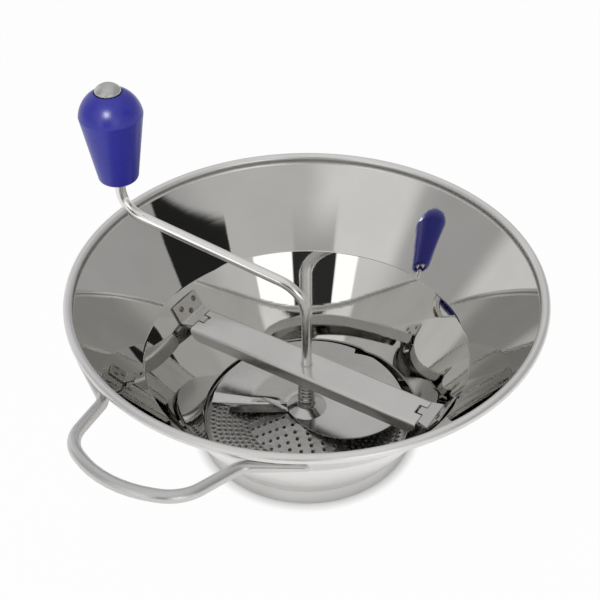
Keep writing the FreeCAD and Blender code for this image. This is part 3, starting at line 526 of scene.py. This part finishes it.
# The sieve disc: pressed from thin steel with a low cone in the middle, a turned-up rim, and some seven
# hundred holes punched from below in rings, so that each hole stands up a little in a raised edge.
disc_top = 0.0063
disc_sheet = 0.0010
disc_edge = 0.0716
collar_top = 0.0101
collar_outer = 0.0730
cone_foot = 0.0415
crown_radius = 0.0165
crown_rise = 0.0090
pivot_radius = 0.0038
hole_radius = 0.00125
edge_mouth = (0.00128, 0.00008)
edge_crest = (0.00155, 0.00020)
edge_foot = 0.00185
hole_pitch = 0.0042
cone_rings = [0.0189 + 0.0043 * ring for ring in range(6)]
cone_counts = [12 + 4 * ring for ring in range(6)]
flat_rings = [0.0436 + 0.00385 * ring for ring in range(7)]
flat_counts = [int(math.tau * radius / hole_pitch) for radius in flat_rings]
cone_margin = 0.0022
flat_margin = 0.0019
crown_soft = 0.0010


def disc_height(radius):
    """The height of the disc's upper face at a radius."""
    share = (cone_foot - radius) / (cone_foot - crown_radius)
    return disc_top + crown_rise * min(1.0, max(0.0, share))


def join_part(bm, part):
    """Puts one bmesh into another."""
    mesh = bpy.data.meshes.new("disc_part")
    part.to_mesh(mesh)
    part.free()
    bm.from_mesh(mesh)
    bpy.data.meshes.remove(mesh)


def punched_ring(bm, radius, inner, outer, count, offset):
    """A ring of punched cells between two radii, each a hole with its raised edge in its piece of sheet."""
    cell = bmesh.new()
    made = bmesh.ops.create_circle(
        cell, segments=12, radius=1.0, matrix=Matrix.Rotation(math.radians(15), 4, "Z")
    )
    row = made["verts"]
    ring = cell.edges[:]
    half_arc = math.pi * radius / count
    rows = (
        ("square", 0.0), (edge_foot, 0.0), edge_crest, edge_mouth, (hole_radius, -disc_sheet),
        ("square", -disc_sheet),
    )
    for index, (reach, height) in enumerate(rows):
        if index:
            row, ring = grown_ring(cell, ring)
        for vert in row:
            way = vert.co.xy.normalized()
            if reach == "square":
                way = way / max(abs(way.x), abs(way.y))
                x = way.x * (outer - radius if way.x > 0 else radius - inner)
                vert.co = (x, way.y * half_arc, height)
            else:
                vert.co = (way.x * reach, way.y * reach, height)
    for vert in cell.verts:
        angle = vert.co.y / radius + offset
        reach = radius + vert.co.x
        vert.co = (reach * math.cos(angle), reach * math.sin(angle), vert.co.z + disc_height(reach))
    whole = math.tau * (count - 1) / count
    bmesh.ops.spin(
        cell, geom=cell.verts[:] + cell.edges[:] + cell.faces[:], cent=(0, 0, 0), axis=(0, 0, 1), angle=whole,
        steps=count - 1, use_duplicate=True,
    )
    bmesh.ops.remove_doubles(cell, verts=cell.verts, dist=2e-6)
    bmesh.ops.recalc_face_normals(cell, faces=cell.faces)
    join_part(bm, cell)


sieve_steel = steel(
    "punched_disc_steel", (0.50, 0.49, 0.475), (0.38, 0.37, 0.355), (0.24, 0.34), 600, bump=0.1
)
radii = cone_rings + flat_rings
between = [(near + far) / 2 for near, far in zip(radii, radii[1:])]
borders = [radii[0] - cone_margin] + between + [radii[-1] + flat_margin]
bm = bmesh.new()
for index, (radius, count) in enumerate(zip(radii, cone_counts + flat_counts)):
    within = index if index < len(cone_rings) else index - len(cone_rings)
    punched_ring(bm, radius, borders[index], borders[index + 1], count, math.pi / count * (within % 2))
centre = bmesh.new()
crown = disc_top + crown_rise
under = crown - disc_sheet
chain(centre, [
    (borders[0], disc_height(borders[0])), (crown_radius + crown_soft / 2, crown - crown_soft / 10),
    (crown_radius - crown_soft, crown), (pivot_radius, crown), (pivot_radius, under),
    (crown_radius - crown_soft, under), (borders[0], disc_height(borders[0]) - disc_sheet),
])
turn(centre, 96)
rim = bmesh.new()
chain(rim, [
    (borders[-1], disc_top), (disc_edge - 0.0006, disc_top), (disc_edge + 0.0001, disc_top + 0.0005),
    (collar_outer - disc_sheet, collar_top), (collar_outer - 0.0004, collar_top + 0.0001),
    (collar_outer, collar_top - 0.0004), (disc_edge + 0.0010, disc_top - disc_sheet + 0.0005),
    (disc_edge, disc_top - disc_sheet), (borders[-1], disc_top - disc_sheet),
])
turn(rim, 160)
for part in (centre, rim):
    join_part(bm, part)
sieve = piece_of(bm, "sieve_punched_disc", "bowl", [sieve_steel], 60)
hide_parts("sieve_disc")

# The crossbar: a channel folded from steel sheet, with rounded flange ends. A notch at each end of its top
# takes the bracket's tongue, and two prongs under it reach below the bracket's tab.
bar_top = 0.0580
bar_sheet = 0.0015
bar_half = 0.0896
bar_side = 0.0128
bar_flange = 0.0095
flange_round = 0.0075
outer_fold = 0.0024
inner_fold = 0.0009
notch_half = 0.0042
notch_depth = 0.0055
notch_shift = bracket_shift
prong_length = 0.0176
prong_half = 0.0096
prong_inset = 0.0022
prong_round = 0.0012
bore = 0.0046
bar_steel = steel(
    "folded_bar_steel", (0.66, 0.652, 0.638), (0.61, 0.602, 0.588), (0.15, 0.21), 500,
    grain=(0.06, 1, 1), bump=0.05,
)
bm = bmesh.new()
for side in (1, -1):
    notch = notch_shift + side * notch_half
    inside = bar_half - notch_depth
    angles = [math.pi * step / 16 for step in range(17)]
    arc = [(bore * math.cos(angle), side * bore * math.sin(angle)) for angle in angles]
    half = [(bar_half, side * bar_side), (bar_half, notch), (inside, notch), (inside, 0)]
    outline = half + arc + [(-x, y) for x, y in reversed(half)]
    top = bm.faces.new([bm.verts.new((x, y, bar_top)) for x, y in outline])
    long_edge = max(top.edges, key=lambda edge: edge.calc_length())
    lower = grown_ring(bm, [long_edge])[0]
    bmesh.ops.translate(bm, verts=lower, vec=(0, 0, -bar_flange))
    bmesh.ops.bevel(
        bm, geom=lower, offset=flange_round, offset_type="OFFSET", segments=8, profile=0.5,
        affect="VERTICES", material=-1,
    )
bmesh.ops.remove_doubles(bm, verts=bm.verts, dist=1e-6)
bmesh.ops.recalc_face_normals(bm, faces=bm.faces)
if max(bm.faces, key=lambda face: face.calc_area()).normal.z < 0:
    bmesh.ops.reverse_faces(bm, faces=bm.faces)
bmesh.ops.solidify(bm, geom=bm.faces[:], thickness=bar_sheet)
bar_folds = ((bar_side, bar_top, outer_fold), (bar_side - bar_sheet, bar_top - bar_sheet, inner_fold))
for y, z, size in bar_folds:
    folds = [
        edge for edge in bm.edges
        if edge.calc_length() > 0.1
        and all(abs(abs(vert.co.y) - y) < 1e-5 and abs(vert.co.z - z) < 1e-5 for vert in edge.verts)
    ]
    bevel(bm, folds, size, 6)
for end in (1, -1):
    for low_y, high_y in ((-prong_half, notch_shift - notch_half), (notch_shift + notch_half, prong_half)):
        size = Vector((prong_length, high_y - low_y, bar_sheet))
        place = Vector((end * (bar_half - prong_inset), (low_y + high_y) / 2, bar_top - 1.5 * bar_sheet))
        prong = bmesh.ops.create_cube(
            bm, size=1.0, matrix=Matrix.Translation(place) @ Matrix.Diagonal((*size, 1))
        )
        tips = [
            edge for edge in {edge for vert in prong["verts"] for edge in vert.link_edges}
            if abs(edge.verts[0].co.z - edge.verts[1].co.z) > 0.001 and abs(edge.verts[0].co.x) > bar_half
        ]
        bevel(bm, tips, prong_round, 3)
crossbar = piece_of(bm, "crossbar_folded_channel", "crossbar", [bar_steel], 40)
break_edges(crossbar)
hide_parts("crossbar_channel")

# The bush and the two spring washers: turned steel rings. The bush is pressed up through the bar to guide the
# rod, and the washers give the spring flat ends to push on.
bush_bore = 0.00355
bush_flange = 0.0072
bush_low = 0.0553
bush_shoulder = 0.0565
bush_top = 0.0583
bush_round = 0.00015
washer_bore = 0.00385
washer_round = 0.0002
bush_steel = steel("turned_bush_steel", (0.62, 0.615, 0.60), (0.54, 0.535, 0.52), (0.22, 0.34), 1600, True)


def spun_ring(name, body, points, steps, material, rounding):
    """A closed profile turned about Z, with every sharp ring edge broken."""
    bm = bmesh.new()
    row = chain(bm, points)
    bm.edges.new((row[-1], row[0]))
    turn(bm, steps)
    for radius, height in points:
        bevel(bm, ring_edges(bm, radius, height), rounding, 2)
    return piece_of(bm, name, body, [material])


bush = spun_ring("bush_turned_ring", "crossbar", [
    (bush_bore, bush_low), (bush_flange, bush_low), (bush_flange, bush_shoulder), (bore, bush_shoulder),
    (bore, bush_top), (bush_bore, bush_top),
], 64, bush_steel, bush_round)
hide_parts("crossbar_bush")
for label, body in (("spring_top_washer", "crossbar"), ("spring_seat_washer", "thrust_seat")):
    low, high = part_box(label)
    washer = spun_ring(f"{label}_ring", body, [
        (washer_bore, low[2]), (high[0], low[2]), (high[0], high[2]), (washer_bore, high[2]),
    ], 64, bush_steel, washer_round)
    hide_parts(label)

# The pressure spring: round spring wire wound on the rod, a little wider at its foot. It pushes the bar up
# under the brackets and the impeller down on the disc. It is made in two lengths that meet at one turn.
wire_radius = 0.00075
coil_low = (0.00575, 0.02375)
coil_high = (0.00470, 0.05335)
coil_turns = 9.5
coil_split = 6.0
climb = (coil_high[1] - coil_low[1]) / coil_turns
steps_in_turn = 24


def spring_metal():
    """Spring wire: bright drawn steel with a fine drawn grain."""
    material, tree, principled, coordinates = shader("spring_wire_steel")
    principled.inputs["Metallic"].default_value = 1.0
    drawn = noise(tree, stretched(tree, coordinates, (1, 1, 0.2)), 2200, 2)
    colour = mixed(tree, drawn, (0.60, 0.595, 0.58), (0.46, 0.455, 0.44))
    tree.links.new(colour, principled.inputs["Base Color"])
    tree.links.new(spread(tree, drawn, 0.18, 0.32), principled.inputs["Roughness"])
    relief(tree, principled, drawn, 0.2, 0.00003)
    return material


spring_wire = spring_metal()


def coil(first_turn, last_turn):
    """A stretch of the tapered coil between two of its turns."""
    bm = bmesh.new()
    start = Matrix.Translation((coil_low[0], 0, coil_low[1] + climb * first_turn))
    bmesh.ops.create_circle(
        bm, segments=12, radius=wire_radius,
        matrix=Matrix.Rotation(math.tau * first_turn, 4, "Z") @ start @ Matrix.Rotation(math.pi / 2, 4, "X"),
    )
    turns = last_turn - first_turn
    bmesh.ops.spin(
        bm, geom=bm.verts[:] + bm.edges[:], cent=(0, 0, 0), axis=(0, 0, 1), angle=math.tau * turns,
        steps=round(turns * steps_in_turn), dvec=(0, 0, climb / steps_in_turn),
    )
    bmesh.ops.holes_fill(bm, edges=[edge for edge in bm.edges if edge.is_boundary], sides=0)
    bmesh.ops.recalc_face_normals(bm, faces=bm.faces)
    for vert in bm.verts:
        share = (vert.co.z - coil_low[1]) / (coil_high[1] - coil_low[1])
        taper = (coil_high[0] - coil_low[0]) * min(1, max(0, share))
        vert.co.xy += vert.co.xy.normalized() * taper
    return bm


lower_coil = piece_of(coil(0.0, coil_split), "pressure_spring_lower_turns", None, [spring_wire], 60)
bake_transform(lower_coil)
upper_coil = piece_of(coil(coil_split, coil_turns), "pressure_spring_upper_turns", None, [spring_wire], 60)
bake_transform(upper_coil)
for turns in (lower_coil, upper_coil):
    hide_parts("pressure_spring")

# The crank: one round steel rod, upright through the bar and the disc, bent out over the rim and up again for
# the knob. Its surface has the fine satin of drawn bar.
crank_radius = 0.0035
rod_steel = steel("drawn_rod_steel", (0.90, 0.89, 0.87), (0.84, 0.83, 0.81), (0.14, 0.20), 900, bump=0.05)
knob_axis = Vector((-0.12550, -0.02713, 0))
crank_foot = 0.0090
crank_level = 0.1200
crank_end = 0.24465
crank_reach = 0.128395
crank_bends = [0.025, 0.020]
crank_end_round = 0.0008
run_rise = crank_reach * math.tan(math.radians(16.2))
low_corner = Vector((0, 0, crank_level))
high_corner = knob_axis + Vector((0, 0, crank_level + run_rise))
crank_run = [Vector((0, 0, crank_foot)), low_corner, high_corner, knob_axis + Vector((0, 0, crank_end))]
bm = bent_rod(crank_run, crank_bends, crank_radius, crank_end_round)
crank = piece_of(bm, "crank_bent_rod", "crank", [rod_steel])
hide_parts("crank_rod")

# The impeller: a plate cut from steel sheet and wound down like a screw's flight, so that its trailing edge
# rubs the disc. A low domed hub sits on it and is pinned to the rod.
blade_low = 0.0162
blade_sheet = 0.0012
blade_eye = 0.0080
blade_radius = 0.0700
edge_azimuth = 200.0
flat_azimuth = 90.0
lobe = Vector((0.0174, 0.0250))
lobe_radius = 0.0435
rubbing_lip = 0.0065
rubbing_lip_share = 0.34
rubbing_gap = 0.00055
rubbing_margin = 0.0010
radial_steps = 30
hub_low = 0.0174
hub_radius = 0.0140
hub_edge = (0.0132, 0.0179)
hub_waist = (0.0092, 0.0204)
hub_crest = (0.0070, 0.0216)
hub_edge_round = 0.0006
hub_crest_round = 0.0009


def rubbing_height(radius):
    """The height of the plate's underside along the rubbing edge."""
    share = max(0.0, (cone_foot + rubbing_margin - radius) / (cone_foot - crown_radius))
    return min(blade_low, disc_top + rubbing_gap + crown_rise * share)


def winding_height(radius, back):
    """The height of the plate's underside at a turn in degrees back from the rubbing edge."""
    lip = min(1.0, radius * math.radians(back) / rubbing_lip)
    lip = lip * lip * (3 - 2 * lip)
    wound = min(1.0, back / (edge_azimuth - flat_azimuth))
    share = rubbing_lip_share * lip + (1 - rubbing_lip_share) * math.sin(math.pi / 2 * wound)
    return rubbing_height(radius) + (blade_low - rubbing_height(radius)) * share


def lobe_reach(azimuth):
    """How far out the lobe's circle is from the axis at an azimuth in degrees."""
    way = Vector((math.cos(math.radians(azimuth)), math.sin(math.radians(azimuth))))
    near = way.dot(lobe)
    return near + math.sqrt(near**2 - lobe.length_squared + lobe_radius**2)


impeller_steel = steel(
    "cut_plate_steel", (0.60, 0.595, 0.585), (0.54, 0.535, 0.525), (0.14, 0.20), 450, bump=0.06
)
bm = bmesh.new()
blade_width = blade_radius - blade_eye
chain(bm, [(blade_eye + blade_width * step / radial_steps, 0) for step in range(radial_steps + 1)])
edge_turn = Matrix.Rotation(math.radians(edge_azimuth), 3, "Z")
bmesh.ops.rotate(bm, verts=bm.verts, cent=(0, 0, 0), matrix=edge_turn)
bmesh.ops.spin(
    bm, geom=bm.verts[:] + bm.edges[:], cent=(0, 0, 0), axis=(0, 0, 1), angle=-math.tau, steps=240,
    use_merge=False,
)
for vert in bm.verts:
    radius = vert.co.xy.length
    azimuth = math.degrees(math.atan2(vert.co.y, vert.co.x)) % 360
    back = (edge_azimuth - azimuth) % 360
    wound = edge_azimuth - flat_azimuth
    if back > wound:
        reach = min(blade_radius, lobe_reach(azimuth))
        radius = blade_eye + (radius - blade_eye) * (reach - blade_eye) / blade_width
        vert.co.xy = vert.co.xy.normalized() * radius
        vert.co.z = blade_low + blade_sheet
    else:
        vert.co.z = winding_height(radius, back) + blade_sheet
bmesh.ops.recalc_face_normals(bm, faces=bm.faces)
if sum(face.normal.z for face in bm.faces) < 0:
    bmesh.ops.reverse_faces(bm, faces=bm.faces)
bmesh.ops.solidify(bm, geom=bm.faces[:], thickness=blade_sheet)
bmesh.ops.recalc_face_normals(bm, faces=bm.faces)
impeller = piece_of(bm, "impeller_wound_plate", "crank", [impeller_steel], 40)
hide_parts("impeller_plate")

bm = bmesh.new()
hub_row = chain(bm, [
    (crank_radius, hub_low), (hub_radius, hub_low), hub_edge, hub_waist, hub_crest,
    (crank_radius, hub_crest[1]),
])
bm.edges.new((hub_row[-1], hub_row[0]))
turn(bm, 96)
bevel(bm, ring_edges(bm, *hub_edge), hub_edge_round, 4)
bevel(bm, ring_edges(bm, *hub_crest), hub_crest_round, 4)
hub = piece_of(bm, "impeller_domed_hub", "crank", [impeller_steel])
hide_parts("impeller_hub")

# The knob: moulded in royal blue plastic, tapered to the foot and domed on top, with a satin moulding finish
# and a fine parting line at its widest. It turns on a steel sleeve, held by the cap on the rod's end.
knob_low = 0.1810
knob_wide = (0.02025, 0.2279)
dome_centre = 0.22499
dome_turn = math.radians(55.7)
knob_foot = 0.0127
knob_foot_round = 0.0026
knob_bore = 0.0064
socket_radius = 0.0088
socket_top = knob_low + 0.004
recess = (0.0090, 0.24165)
parting_round = 0.00015


def blue_plastic():
    """Blue moulded plastic: a deep and a lighter blue, satin, with a fine grain."""
    material, tree, principled, coordinates = shader("knob_blue_plastic")
    cloud = noise(tree, coordinates, 60, 3)
    blue = mixed(tree, spread(tree, cloud, 0, 1), (0.028, 0.029, 0.350), (0.032, 0.033, 0.390))
    tree.links.new(blue, principled.inputs["Base Color"])
    grain = noise(tree, coordinates, 2600, 2)
    tree.links.new(spread(tree, grain, 0.26, 0.32), principled.inputs["Roughness"])
    relief(tree, principled, grain, 0.05, 0.00008)
    return material


knob_blue = blue_plastic()
bm = bmesh.new()
knob_row = chain(bm, [
    (knob_bore, recess[1]), (knob_bore, socket_top), (socket_radius, socket_top),
    (socket_radius, knob_low), (knob_foot, knob_low), knob_wide,
])
dome_end = roll(bm, knob_row[-1], (0, dome_centre), -dome_turn, 20)
recess_row = chain(bm, [recess, (knob_bore, recess[1])])
bm.edges.new((dome_end, recess_row[0]))
bmesh.ops.remove_doubles(bm, verts=bm.verts, dist=1e-6)
turn(bm, 96)
bevel(bm, ring_edges(bm, knob_foot, knob_low), knob_foot_round, 6)
bevel(bm, ring_edges(bm, *knob_wide), parting_round, 2)
bmesh.ops.translate(bm, verts=bm.verts, vec=knob_axis)
knob = piece_of(bm, "knob_moulded_grip", "knob", [knob_blue])
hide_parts("knob_grip")

# The knob's cap: a small domed steel button, riveted on the rod's end in the recess of the dome.
cap_steel = steel("cap_button_steel", (0.64, 0.635, 0.62), (0.58, 0.575, 0.56), (0.30, 0.36), 900, bump=0.03)
cap_radius = 0.00825
cap_low = 0.24335
cap_edge = 0.0014
cap_round = 0.0004
cap_top = 0.24895
dome_rise = cap_top - cap_low - cap_edge
sphere = (dome_rise**2 + cap_radius**2) / (2 * dome_rise)
bm = bmesh.new()
cap_row = chain(bm, [(0, cap_low), (cap_radius, cap_low), (cap_radius, cap_low + cap_edge)])
roll(bm, cap_row[-1], (0, cap_top - sphere), -math.asin(cap_radius / sphere), 14)
turn(bm, 64)
bevel(bm, ring_edges(bm, cap_radius, cap_low + cap_edge), cap_round, 3)
bmesh.ops.translate(bm, verts=bm.verts, vec=knob_axis)
cap = piece_of(bm, "knob_cap_button", "crank", [cap_steel])
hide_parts("knob_end_cap")

# The pieces that stay inside: the pin through the hub, the knob's sleeve and the ring that stops it. They
# keep their drawn shapes and take the finish of turned steel.
for label in ("hub_pin", "knob_sleeve", "knob_stop_ring"):
    for slot in bpy.data.objects[label].material_slots:
        slot.material = bush_steel

# The studio: a pale floor that runs white into the distance but keeps the mill's soft shadow, a sky of soft
# boxes and dark cards as the polished steel shows them, and the camera of the photograph.
mirrored_glow = 0.66
floor_glow = 0.96
shadow_start = 0.074
shadow_end = 0.082
floor_reach = 30
floor_material, tree, principled, coordinates = shader("studio_floor")
principled.inputs["Base Color"].default_value = (0.9, 0.9, 0.9, 1)
principled.inputs["Roughness"].default_value = 0.9
principled.inputs["Specular IOR Level"].default_value = 0.0
glow = tree.nodes.new("ShaderNodeEmission")
glow.inputs["Strength"].default_value = 1.0
paths = tree.nodes.new("ShaderNodeLightPath")
seen = tree.nodes.new("ShaderNodeMath")
seen.operation = "MULTIPLY_ADD"
tree.links.new(paths.outputs["Is Glossy Ray"], seen.inputs[0])
seen.inputs[1].default_value = mirrored_glow
tree.links.new(paths.outputs["Is Camera Ray"], seen.inputs[2])
both = tree.nodes.new("ShaderNodeMath")
both.operation = "MULTIPLY"
both.use_clamp = True
tree.links.new(seen.outputs[0], both.inputs[0])
away = tree.nodes.new("ShaderNodeVectorMath")
away.operation = "LENGTH"
tree.links.new(coordinates, away.inputs[0])
glow_share = spread(tree, away.outputs["Value"], 0.0, floor_glow, shadow_start, shadow_end)
tree.links.new(glow_share, both.inputs[1])
blend = tree.nodes.new("ShaderNodeMixShader")
tree.links.new(both.outputs[0], blend.inputs[0])
tree.links.new(principled.outputs[0], blend.inputs[1])
tree.links.new(glow.outputs[0], blend.inputs[2])
tree.links.new(blend.outputs[0], tree.nodes["Material Output"].inputs["Surface"])
bm = bmesh.new()
bmesh.ops.create_circle(bm, cap_ends=True, segments=64, radius=floor_reach)
mesh = bpy.data.meshes.new("studio_floor")
bm.to_mesh(mesh)
bm.free()
mesh.materials.append(floor_material)
floor = bpy.data.objects.new("studio_floor", mesh)
bpy.context.collection.objects.link(floor)

world = bpy.data.worlds.new("studio_sky")
bpy.context.scene.world = world
world.use_nodes = True
sky = world.node_tree
view = sky.nodes.new("ShaderNodeTexCoord").outputs["Generated"]
axes = sky.nodes.new("ShaderNodeSeparateXYZ")
sky.links.new(view, axes.inputs[0])


def sky_math(operation, first, second=None):
    """A sum on the sky's values."""
    node = sky.nodes.new("ShaderNodeMath")
    node.operation = operation
    for socket, value in zip(node.inputs, (first, second)):
        if isinstance(value, (int, float)):
            socket.default_value = value
        elif value is not None:
            sky.links.new(value, socket)
    return node.outputs[0]


camera_azimuth = -58.0
turned_view = sky.nodes.new("ShaderNodeVectorRotate")
turned_view.rotation_type = "Z_AXIS"
turned_view.inputs["Angle"].default_value = math.radians(-camera_azimuth)
sky.links.new(view, turned_view.inputs["Vector"])
turned_axes = sky.nodes.new("ShaderNodeSeparateXYZ")
sky.links.new(turned_view.outputs[0], turned_axes.inputs[0])
bearing = sky_math("ARCTAN2", turned_axes.outputs["Y"], turned_axes.outputs["X"])
rise = sky_math("ARCSINE", axes.outputs["Z"])


def panel(level, left, right, low, high, soft, strength, lean=(0, 0)):
    """A soft-edged panel of the sky between two bearings from the camera and two rises, laid over the rest.

    lean is how far its upright edges run across for each degree of rise, and its level ones down for each
    degree of bearing.
    """
    masks = []
    across = sky_math("ADD", bearing, sky_math("MULTIPLY", rise, lean[0]))
    upward = sky_math("ADD", rise, sky_math("MULTIPLY", bearing, lean[1]))
    for value, start, end in ((across, left, right), (upward, low, high)):
        middle = math.radians((start + end) / 2)
        half = math.radians(abs(end - start) / 2)
        away = sky_math("ABSOLUTE", sky_math("SUBTRACT", value, middle))
        edge = sky.nodes.new("ShaderNodeMapRange")
        edge.interpolation_type = "SMOOTHSTEP"
        edge.inputs["From Min"].default_value = half + math.radians(soft) / 2
        edge.inputs["From Max"].default_value = half - math.radians(soft) / 2
        sky.links.new(away, edge.inputs["Value"])
        masks.append(edge.outputs["Result"])
    mask = sky_math("MULTIPLY", *masks)
    change = sky_math("MULTIPLY", sky_math("SUBTRACT", strength, level), mask)
    return sky_math("ADD", level, change)


# Laid over one another: pale walls and ceiling first, then two soft boxes with a dark card in each, a black
# card that leans, and two last patches.
room_level = 0.46
level = sky_math("ADD", room_level, 0.0)
level = panel(level, -146, -112, -5, 40, 12, 0.82)
level = panel(level, 150, 210, 20, 62, 20, 0.68)
level = panel(level, -210, -150, 20, 62, 20, 0.68)
level = panel(level, -66, 66, 0, 66, 24, 0.64)
level = panel(level, -58, -8, 20, 66, 22, 0.88)
level = panel(level, -180, 180, 54, 126, 8, 0.72)
level = panel(level, -48, 48, 79.6, 100.4, 1, 1.3)
level = panel(level, -11, 11, 79.4, 100.6, 1, 0.03)
level = panel(level, -36, 37, -10, 26, 2, 1.5)
level = panel(level, -21, 10, -10, 26, 1.5, 0.03)
level = panel(level, 85.8, 113.1, 32, 44.3, 0.8, 0.02, (0.98, 0.17))
level = panel(level, -20, 9, 30, 39.4, 3, 0.50)
level = panel(level, -62, -22, 29, 38, 12, 0.90)
background = sky.nodes["Background"]
colour = sky.nodes.new("ShaderNodeCombineColor")
for name in ("Red", "Green", "Blue"):
    sky.links.new(level, colour.inputs[name])
sky.links.new(colour.outputs[0], background.inputs["Color"])
background.inputs["Strength"].default_value = 1.0
backdrop = sky.nodes.new("ShaderNodeBackground")
backdrop.inputs["Color"].default_value = (1, 1, 1, 1)
sky_paths = sky.nodes.new("ShaderNodeLightPath")
sky_blend = sky.nodes.new("ShaderNodeMixShader")
sky.links.new(sky_paths.outputs["Is Camera Ray"], sky_blend.inputs[0])
sky.links.new(background.outputs[0], sky_blend.inputs[1])
sky.links.new(backdrop.outputs[0], sky_blend.inputs[2])
sky.links.new(sky_blend.outputs[0], sky.nodes["World Output"].inputs["Surface"])


def lamp(name, place, size, power, target):
    """A square soft box aimed at a point."""
    light = bpy.data.lights.new(name, "AREA")
    light.shape = "SQUARE"
    light.size = size
    light.energy = power
    item = bpy.data.objects.new(name, light)
    item.location = place
    item.rotation_euler = (Vector(target) - Vector(place)).to_track_quat("-Z", "Y").to_euler()
    bpy.context.collection.objects.link(item)
    return item


soft_box_place = (0.35, -1.25, 1.0)
soft_box_aim = (0, 0, 0.1)
soft_box = lamp("front_soft_box", soft_box_place, 1.2, 5.0, soft_box_aim)
soft_box.visible_glossy = False
knob_light_place = (0.243, -0.855, 1.012)
knob_light_aim = knob_axis + Vector((0, 0, dome_centre))
knob_light = lamp("knob_highlight_box", knob_light_place, 0.32, 9.0, knob_light_aim)
knob_light.visible_diffuse = False
lit_by_it = bpy.data.collections.new("knob_highlight")
lit_by_it.objects.link(knob)
knob_light.light_linking.receiver_collection = lit_by_it

camera_data = bpy.data.cameras.new("photo_camera")
camera_data.lens = 66.0
camera_data.sensor_width = 36.0
camera = bpy.data.objects.new("photo_camera", camera_data)
camera_place = Vector((0.294116, -0.470684, 0.570590))
look = Vector((-0.414348, 0.651945, -0.635047))
roll_angle = math.radians(-0.4587)
camera.matrix_world = (
    Matrix.Translation(camera_place) @ look.to_track_quat("-Z", "Y").to_matrix().to_4x4()
    @ Matrix.Rotation(roll_angle, 4, "Z")
)
bpy.context.collection.objects.link(camera)
bpy.context.scene.camera = camera
bpy.context.scene.view_settings.view_transform = "Standard"
